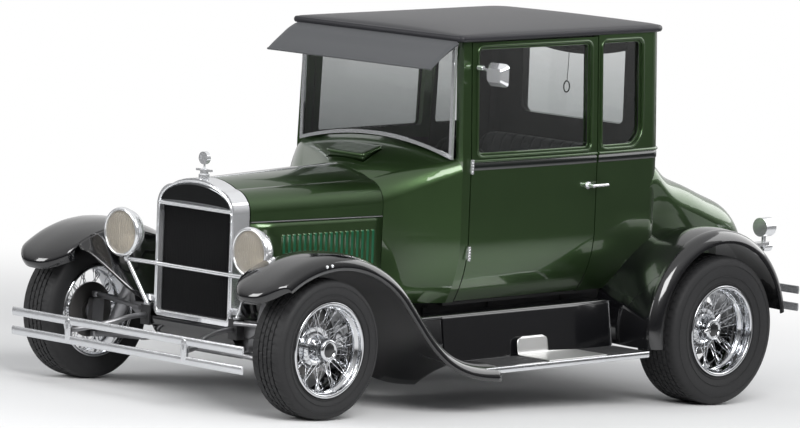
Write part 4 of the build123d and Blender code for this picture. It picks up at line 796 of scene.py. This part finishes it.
over = circle_through(TIP, CROWN, KNEE_START, 120)
fall = np.linspace(KNEE_START, KNEE, 14)[1:]
toward = (np.array(KNEE) - KNEE_START) / np.linalg.norm(np.array(KNEE) - KNEE_START)
t = np.linspace(0, 1, 50)[1:, None]
reach = 300 * toward
foot = ((1 - t) ** 3 * np.array(KNEE) + 3 * (1 - t) ** 2 * t * (np.array(KNEE) + reach * 0.62)
        + 3 * (1 - t) * t ** 2 * (np.array(LANDING) - (230, -14)) + t ** 3 * np.array(LANDING))
spine = np.concatenate((over, fall, foot))
travel = np.concatenate(([0], np.cumsum(np.linalg.norm(np.diff(spine, axis=0), axis=1))))
FRAME_TOP = 386
LIP_ROLL = ((0, 62), (0.01, 48), (2, 37.5), (5, 29), (10, 21), (18, 15), (30, 8.5), (45, 4), (60, 2),
            (90, 0.4))
roll_at, roll_drop = np.array(LIP_ROLL).T


def spine_at(s):
    """Place and direction on the fender's middle line, at each distance along it."""
    place, ahead, behind = (dots(*(np.interp(s + off, travel, line) for line in spine.T))
                            for off in (0, 4, -4))
    return place, unit(ahead - behind)


def blade(rows, inner_x, tip_bend):
    """The fender's skin. Columns run from the inner edge to the lip, rows along the middle line.
    A point drops square to the line by the crown, which grows as the square of its distance from
    the highest column, and by the rolled lip, read by its distance from the lip or the tip, the
    two drops added as cubes. Near the tip the rows bend back towards both corners, so that the
    tip is rounded in plan."""
    edge = np.array((0, 0.01, 1, 2.5, 5, 8, 12, 18, 26, 36, 50, 68, 90))
    inward = np.linspace(0, 1, 13)[:-1]
    outer_columns = LIP_X - edge[::-1]
    x = np.concatenate((inner_x[:, None] + (outer_columns[0] - inner_x[:, None]) * inward[None, :],
                        np.broadcast_to(outer_columns, (len(rows), len(edge)))), 1)
    side_drop = np.interp(LIP_X - x, roll_at, roll_drop, right=0)
    side_drop[:, -1] = 62
    tip_drop = np.interp(np.maximum(rows, 0), roll_at, roll_drop * 0.72, right=0)[:, None]
    tip_drop[0] = 46
    crown = np.where(x < CROWN_X, 0.00105 * 0.95, 0.00016) * (x - CROWN_X) ** 2
    lean = np.minimum((side_drop ** 3 + tip_drop ** 3) ** (1 / 3), 62)
    middle = (LIP_X + inner_x[:, None]) / 2
    off = np.abs(x - middle) / (LIP_X - middle)
    bend = tip_bend * np.clip(off, 0, 1) ** 2.8 * np.exp(-np.maximum(rows, 0) / 210)[:, None]
    s = np.clip(rows, 0, travel[-1])[:, None] + bend
    place, ahead = spine_at(s)
    square = dots(-ahead[..., 1], ahead[..., 0])
    square *= np.sign(square[..., 1:] + 1e-9)
    spot = place - square * (crown + lean)[..., None]
    return dots(x, spot[..., 0], spot[..., 1])


rows = np.concatenate(((-0.01, 0, 1, 2.5, 5, 8, 12, 18, 26, 36, 50, 68, 90, 115),
                       np.linspace(142, travel[-1], 92)))
spot, _ = spine_at(np.clip(rows, 0, travel[-1]))
apron_x = 490.0


def apron_at(z):
    """How far out the apron stands: it leans outwards from the frame's upper edge."""
    return 312 + (z - FRAME_TOP) * 158 / 274


for _ in range(6):
    apron_x = apron_at(spot[:, 1] - 0.001 * (CROWN_X - apron_x) ** 2 * 0.95)
apron_x = np.maximum(apron_x, RAIL_X)
mix = np.clip((spot[:, 0] - 14) / 60, 0, 1)
inner = NOTCH_X * (1 - mix) + np.minimum(apron_x, NOTCH_X) * mix
skin = blade(rows, inner, 125)
edge_line = skin[12:, 0]
top = edge_line[(edge_line[:, 1] > -292) & (edge_line[:, 1] < 838)]
y = top[:, 1]
arch = circle_through((-330, 592), (-130, 452), (-8, FRAME_TOP), 40)
low_z = np.where(y < -8, np.interp(y, arch[:, 0], arch[:, 1]), FRAME_TOP)
grown = np.clip((y + 292) / 230, 0, 1)
grown = grown * grown * (3 - 2 * grown)
low_z = top[:, 2] - 0.5 - (top[:, 2] - 0.5 - low_z) * grown
low = dots(top[:, 0] + (apron_at(low_z) - top[:, 0]) * grown, y, low_z)
share = np.linspace(0, 1, 9)[:, None, None]
apron = top[None] * (1 - share) + low[None] * share
y = np.linspace(664, 958, 34)
ground = np.interp(y, spine[:, 0], spine[:, 1]) - 16
shelf = [dots(a, y, b) for a, b in ((442, 357.5), (535, 357.5), (541, 356.5), (546, 353), (549, 346))]
wall_foot = dots(549 + (346 - ground) * 31 / 188, y, ground)
wall = np.stack((*shelf, shelf[-1] * 0.5 + wall_foot * 0.5, wall_foot))
studs = np.stack([disc([(0, -5.5), (3.5, -5.0), (6, -3.2), (7.5, 0), (7.5, 3)], 20, 0, 0, 0)[..., (1, 0, 2)]
                  * (-1, 1, 1) + (834.5, a, b) for a, b in ((-51, 672), (-20, 674))])
finish("black_enamel", (0.004, 0.004, 0.005), (8, 0.10, 0.2), Coat_Weight=1.0, Coat_Roughness=0.012,
       Specular_IOR_Level=0.4)
for side, hand in SIDES:
    piece(f"front_fender_skin_{hand}", [(skin[:, ::-1], False, False, 0), (apron, False, False, 0),
                                        (wall[:, ::-1], False, False, 0)], ["black_enamel"], side=side,
          replaces=[f"front_fender_{hand}"], thick=4, sharp=50)
    piece(f"front_fender_studs_{hand}", [studs], ["chrome"], side=side, solid=True)

# Running boards: black boards edged with polished strip, a ribbed rubber mat let in between, and
# a bright step plate whose back stands up against the apron. All screwed down.
BOARD_TOP, BOARD_END = 152, 2036
finish("mat_rubber", (0.045, 0.045, 0.047), (70, 0.45, 0.7), Specular_IOR_Level=0.5)
finish("polished_strip", (0.74, 0.75, 0.77), (30, 0.14, 0.26), Metallic=1.0)
finish("step_plate", (0.78, 0.78, 0.77), (45, 0.3, 0.42), Metallic=0.85)
ribs = np.arange(1004, 2030, 11.0)
along_y = np.concatenate(([1000], (ribs[:, None] + np.array((0, 0.8, 6.2, 7))).ravel(), [BOARD_END]))
along_rise = np.concatenate(([0], np.tile((0, 3, 3, 0), len(ribs)), [0]))
bands = np.array((606, 640, 674, 708, 742))
across_x = np.concatenate(([598], (bands[:, None] + np.array((0, 1, 29, 30))).ravel(), [796]))
across_rise = np.concatenate(([0], np.tile((0, 1, 1, 0), len(bands)), [0]))
mat = dots(across_x[:, None], along_y[None], BOARD_TOP + 1 + across_rise[:, None] * along_rise[None])
path_y = np.linspace(976, BOARD_END, 30)
outer = dots(818.5, path_y, 141.0)
inner_strip = dots(592.0, path_y, BOARD_TOP + 1.5)
OUTER_STRIP = ((0, -14), (-21, -14), (-21, -11.5), (-2, -11.5), (-1, 12), (1.2, 12), (1.8, 0), (1.4, -12))
end_strip = dots((594, 650, 700, 760, 806), BOARD_END + 1, BOARD_TOP + 1.5)
lean_strip = np.linspace((584.5, BOARD_END + 2, 156), (553.5, BOARD_END + 2, 356), 8)
ledge_line = dots(541, np.linspace(668, BOARD_END, 12), 349)
PLATE_FRONT, PLATE_UPPER, PLATE_REAR = 1405, 1603, 1780
plate_path = np.array(((798, 158.0), (790, 158.5), (700, 158.5), (622, 158.5), (606, 160), (600, 168),
                       (596, 200), (590, 238)))
profile = smooth(plate_path, 40)
tall = np.clip((profile[:, 1] - 160) / 78, 0, 1)
back_end = PLATE_REAR - (PLATE_REAR - PLATE_UPPER) * np.clip((profile[:, 1] - 159.5) / 6, 0, 1)
shape = np.sqrt(np.clip(1 - np.clip((tall - 0.62) / 0.38, 0, 1) ** 2, 0, 1)) * 34 - 34
span = np.linspace(0, 1, 24)
reach = (PLATE_FRONT - shape)[:, None] * (1 - span) + (back_end + shape)[:, None] * span
plate = dots(profile[:, None, 0], reach, profile[:, None, 1])
for side, hand in SIDES:
    piece(f"board_mat_{hand}", [(mat[::-1], False, False, 0)], ["mat_rubber"], "car_body", side,
          sharp=30)
    piece(f"board_trim_{hand}", [swept(outer, OUTER_STRIP, (1, 0, 0)),
                                 swept(inner_strip, [(-5, -2), (5, -2), (5, 1), (-5, 1)], (1, 0, 0)),
                                 swept(end_strip, [(-3, -2), (3, -2), (3, 1), (-3, 1)], (0, 1, 0)),
                                 swept(lean_strip, round_wire(3), (0, 1, 0))], ["polished_strip"],
          side=side, solid=True)
    piece(f"ledge_roll_{hand}", [swept(ledge_line, round_wire(11, 20), (1, 0, 0))], ["black_enamel"],
          side=side, solid=True)
    piece(f"step_plate_{hand}", [(plate, False, False, 0)], ["step_plate"], side=side,
          thick=2.5, sharp=60)

# Roof: black grained vinyl stretched over wadding on a slatted deck. It is one crowned sheet with
# a fat roll round its edge, tacked under the roll to the top of the body.
ROOF_EDGE, BODY_TOP = 540, 1566
finish("roof_vinyl", (0.013, 0.013, 0.017), (900, 0.42, 0.58, 0.35, 0.0004), Sheen_Weight=0.12,
       Sheen_Roughness=0.4, Specular_IOR_Level=0.45)
finish("visor_vinyl", (0.070, 0.073, 0.078), (900, 0.45, 0.6, 0.35, 0.0004), Sheen_Weight=0.15,
       Sheen_Roughness=0.4, Specular_IOR_Level=0.45)
plan = outline(1036, 2397, -ROOF_EDGE + 2, ROOF_EDGE - 2, (26, 84, 84, 26))[:, ::-1]
middle = dots(0, np.clip(plan[:, 1], 1640, 1860))
into = unit(middle - plan)
# columns: inwards from the edge, height over the top of the body
ROLL = ((30, 0.6), (12, 0.6), (6, 2), (1.5, 7), (0, 14), (1, 20), (4, 25), (8, 27.5), (12, 28), (15, 27),
        (17, 27.5), (24, 30), (40, 33))
rolled = []
for inwards, rise in ROLL:
    at = plan + into * inwards
    rolled.append(dots(at[:, 0], at[:, 1], BODY_TOP + rise))
start = plan + into * 40
for share in np.linspace(0.06, 1, 24):
    at = start + (middle - start) * share
    rolled.append(dots(at[:, 0], at[:, 1], BODY_TOP + rise))
cover = np.stack(rolled)
x, y = cover[..., 0], cover[..., 1]
dome = (1 - (x / ROOF_EDGE) ** 2) * 17 * np.clip((1 - (np.abs(y - 1716) / 690) ** 6), 0.15, 1)
cover[12:, :, 2] += dome[12:] - 3.5 * np.exp(-np.arange(len(cover) - 12) / 3.0)[:, None] + 1.5
roof = piece("roof_cover", [cover], ["roof_vinyl"], replaces=["roof"], sharp=70,
             solid=True)

# Sun visor: grey vinyl stretched over a bent frame, bound round its edge, and held to the
# windshield posts by two small plated brackets.
upper = smooth([(1040, 1569), (1000, 1555), (952, 1520), (905, 1489), (872, 1463), (866, 1456)], 26)
under = smooth([(868, 1450), (876, 1452), (905, 1474), (958, 1508), (1000, 1534), (1032, 1549)], 26)
loop = np.concatenate((upper, under))
u = np.linspace(-1, 1, 61)
sag = -3.5 * (1 - u ** 2)
ends = np.clip((1 - np.abs(u)) / 0.012, 0.25, 1)
mid = (upper + under[::-1]) / 2
mid_loop = np.concatenate((mid, mid[::-1]))
sag = sag * np.clip((loop[:, :1] - 866) / 80, 0, 1) * np.clip((1034 - loop[:, :1]) / 80, 0, 1)
cloth = dots(516 * u, mid_loop[:, :1] + (loop - mid_loop)[:, :1] * ends,
             mid_loop[:, 1:] + (loop - mid_loop)[:, 1:] * ends + sag)
cloth = np.moveaxis(cloth, 0, 1)
close = cloth.mean(1, keepdims=True) * np.ones((1, 52, 1))
cloth = np.concatenate((close[:1], cloth, close[-1:]))
hem = dots(np.linspace(-515, 515, 20), 869.5, 1454.0)
brackets = [(swept(np.array([(x, 1016, 1552), (x, 1030, 1549), (x, 1050, 1547)], float),
                   [(-2, -6), (2, -6), (2, 6), (-2, 6)], (0, 0, 1)), False, True, 1) for x in (-494, 494)]
visor = piece("visor_cover", [cloth, swept(hem, round_wire(5), (0, -1, 0)), *brackets],
              ["visor_vinyl", "chrome"], replaces=["visor"], sharp=70, solid=True)

# Seat: a sprung bench and its back, padded and covered in black vinyl that is sewn into upright
# channels. The covers are stretched over the padding and tacked under the frames.
finish("seat_vinyl", (0.013, 0.013, 0.015), (500, 0.36, 0.5, 0.3, 0.0004), Sheen_Weight=0.15,
       Specular_IOR_Level=0.5)
# columns: node, half length, middle along and up, half depth and height, lean, channels, fill
PADS = (
    ("seat_cushion", 422, 1826, 558, 246, 68, -0.07, 14, 0.7),
    ("seat_back", 422, 2164, 764, 80, 278, -0.17, 14, 0.6),
)
for node, half, along, up_to, deep, tall, lean, channels, fill in PADS:
    u = np.linspace(-1, 1, 281)[:, None]
    turn = full_turn(96)[None]
    squeeze = (1 - np.abs(u) ** 14) ** (1 / 4)
    power = 0.42
    a = np.sign(np.cos(turn)) * np.abs(np.cos(turn)) ** power
    b = np.sign(np.sin(turn)) * np.abs(np.sin(turn)) ** power
    sewn = 1 - 0.028 * np.exp(-(np.abs(np.sin(math.pi * channels * (u + 1) / 2)) / 0.16) ** 2)
    swell = 1 + 0.05 * (1 - u ** 2) * (1 - b ** 2) + 0.03 * (1 - a ** 2)
    y0, z0 = deep * 0.94 * a * squeeze * swell * sewn, tall * 0.94 * b * squeeze * swell * sewn
    pad = dots(half * u, along + y0 * math.cos(lean) - z0 * math.sin(lean),
               up_to + y0 * math.sin(lean) + z0 * math.cos(lean))
    made = piece(f"{node}_sewn", [pad], ["seat_vinyl"], replaces=[node], sharp=60,
                 solid=True)

# Roof lining: thin boards covered in dark cloth and bowed a little upwards, fixed up inside the
# roof's rim. They are the dark ceiling seen through the windows.
finish("lining_cloth", (0.020, 0.018, 0.016), (700, 0.7, 0.9, 0.3, 0.0003))
u, v = np.meshgrid(np.linspace(-1, 1, 31), np.linspace(-1, 1, 31))
boards = dots(511 * u, 1716 + 653 * v, BODY_TOP + 9 * (1 - u ** 2) * (1 - v ** 2))
piece("roof_lining", [(boards[:, ::-1], False, False, 0)], ["lining_cloth"])

# Rear shade: a strip of black cloth let down from a spring roller inside the rear window. Its
# lower edge is cut in a shallow bow, and a cord with a ring hangs from the middle of it.
SHADE_Y, SHADE_HALF, SHADE_TOP, SHADE_LOW, BOW = 2335, 336, 1502, 1466, 43
u, v = np.meshgrid(np.linspace(-1, 1, 61), np.linspace(0, 1, 9))
low_edge = SHADE_LOW - BOW * (1 - u ** 2)
cloth = dots(SHADE_HALF * u, SHADE_Y + 1.5 * np.sin(math.pi * v), SHADE_TOP + (low_edge - SHADE_TOP) * v)
shade = piece("rear_shade", [(cloth, False, False, 0)], ["lining_cloth"], thick=1.0)
roll_line = dots(np.linspace(-SHADE_HALF - 10, SHADE_HALF + 10, 12), SHADE_Y - 4, SHADE_TOP + 4.0)
piece("shade_roller", [swept(roll_line, round_wire(9, 20), (0, 1, 0))], ["lining_cloth"], solid=True)
hem_line = dots(SHADE_HALF * u[0], SHADE_Y, low_edge[0])
hem = piece("shade_hem", [swept(hem_line, round_wire(2.5, 10), (0, 1, 0))], ["lining_cloth"], solid=True)
PULL, CORD_DIAMETER = 0.132, 0.003
start = tipped((-26, SHADE_Y, 1422.5))
thread = bpy.data.curves.new("shade_cord", "CURVE")
thread.dimensions, thread.bevel_depth, thread.bevel_resolution = "3D", CORD_DIAMETER / 2, 3
thread.use_fill_caps = True
run = thread.splines.new("NURBS")
run.points.add(4)
drops = np.linspace(0, PULL, 5)
sway = np.array((0, 0.0006, 0.001, 0.0006, 0))
places = dots(start[0] + sway, start[1], start[2] - drops, 1)
run.points.foreach_set("co", places.ravel())
run.order_u, run.use_endpoint_u = 3, True
thread.materials.append(FINISHES["lining_cloth"])
cord = bpy.data.objects.new("shade_cord", thread)
bpy.context.scene.collection.objects.link(cord)
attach(cord, "car_body")
turn = full_turn(48)
ring_path = dots(18 * np.sin(turn), 0, 25.5 * np.cos(turn) - 25.5 - 2.5) + (start - (0, 0, PULL)) * 1000
ring = piece("shade_ring", [hoop(ring_path, round_wire(3.2, 12), (0, 1, 0))],
             ["cap_black"], place=lambda points: np.asarray(points) / 1000, solid=True)

# Cowl vent: a pressed lid with turned-down edges, painted with the body, on a rear hinge. A skirt
# under it reaches down into the opening.
LID_FRONT, LID_REAR, LID_Z, COWL_SLOPE = 858, 984, 1039.5, 0.256
lid_line = outline(-124, 124, LID_FRONT, LID_REAR, (34, 14, 14, 34))
middle = dots(np.clip(lid_line[:, 0], -62, 62), (LID_FRONT + LID_REAR) / 2)
into = unit(middle - lid_line)
# columns: inwards from the lid's edge, height over the cowl
LID_EDGE = ((1.5, -9), (0, -8.5), (0, -4), (0.8, -1.5), (3, 0), (8, 1.0), (20, 1.6), (40, 2.0), (60, 2.2))
lid_rows = []
for at, rise in (*((lid_line + into * inwards, rise) for inwards, rise in LID_EDGE), (middle, 2.3)):
    lid_rows.append(dots(at[:, 0], at[:, 1], LID_Z + (at[:, 1] - LID_FRONT) * COWL_SLOPE + rise))
skirt_x, skirt_y = outline(-110, 110, 876, 977, (12, 6, 6, 12)).T
skirt_top = 1038 + (skirt_y - LID_FRONT) * COWL_SLOPE
skirt = np.stack([dots(skirt_x, skirt_y, skirt_top - share * (36 - (skirt_y - 876) * 0.26))
                  for share in (0, 0.5, 1)])
piece("cowl_vent_lid", [np.stack(lid_rows), skirt], ["green_paint"], "cowl_vent", replaces=["cowl_vent"],
      sharp=50, thick=1.2)

# Bumpers: pairs of spring-steel bars, plated, their faces a little rounded, joined by oval clamps
# with a bolt each and carried on round irons from the frame's ends.
# columns: how much of the clamp's outline is left, height of its face there
CLAMP_FACE = ((1.0, 0), (1.0, 2.0), (0.9, 4.4), (0.6, 5.6), (0.24, 5.8), (0.2, 6.6), (0.0, 6.8))


def oval(half_x, half_z, facing):
    """A clamp's face: a stadium outline drawn in towards its middle as it rises."""
    turn = full_turn(48)
    straight = (half_z - half_x) * np.sign(np.sin(turn))
    return np.stack([dots(half_x * k * np.cos(turn), facing * rise, (straight + half_x * np.sin(turn)) * k)
                     for k, rise in CLAMP_FACE])


BAR_FACE = ((-5, -17.5), (-5, 17.5), (-2, 19), (1.5, 18), (4, 12), (5, 0), (4, -12), (1.5, -18), (-2, -19))
RAIL_Z = 336
# columns: node, along, heights of the bars, which way it faces, where the irons end
BUMPERS = (("front_bumper", -434, (240, 324), -1, -58), ("rear_bumper", 3150, (272, 352), 1, 2996))
for node, along, heights, facing, horn in BUMPERS:
    grids = []
    mid_z = sum(heights) / 2
    for z in heights:
        line = dots(np.linspace(-729, 729, 40), along, z)
        grids.append(swept(line, BAR_FACE, (0, facing, 0)))
    for x in (-368, 368):
        grids.append(oval(17, 54, facing) + (x, along + facing * 1.0, mid_z))
        grids.append(oval(17, 54, -facing) + (x, along - facing * 7.0, mid_z))
        tie = smooth([(x, along - facing * 12, mid_z), (x, along - facing * 60, mid_z),
                      (math.copysign(290, x), (along + horn) / 2, mid_z + (RAIL_Z - mid_z) * 0.6),
                      (math.copysign(278, x), horn + facing * 80, RAIL_Z),
                      (math.copysign(278, x), horn, RAIL_Z)], 24)
        grids.append((swept(tie, round_wire(12, 14), (1, 0, 0)), False, True, 1))
    piece(node + "_bars", grids, ["dull_chrome", "steel"], replaces=[node], solid=True,
          sharp=45)

low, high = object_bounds()
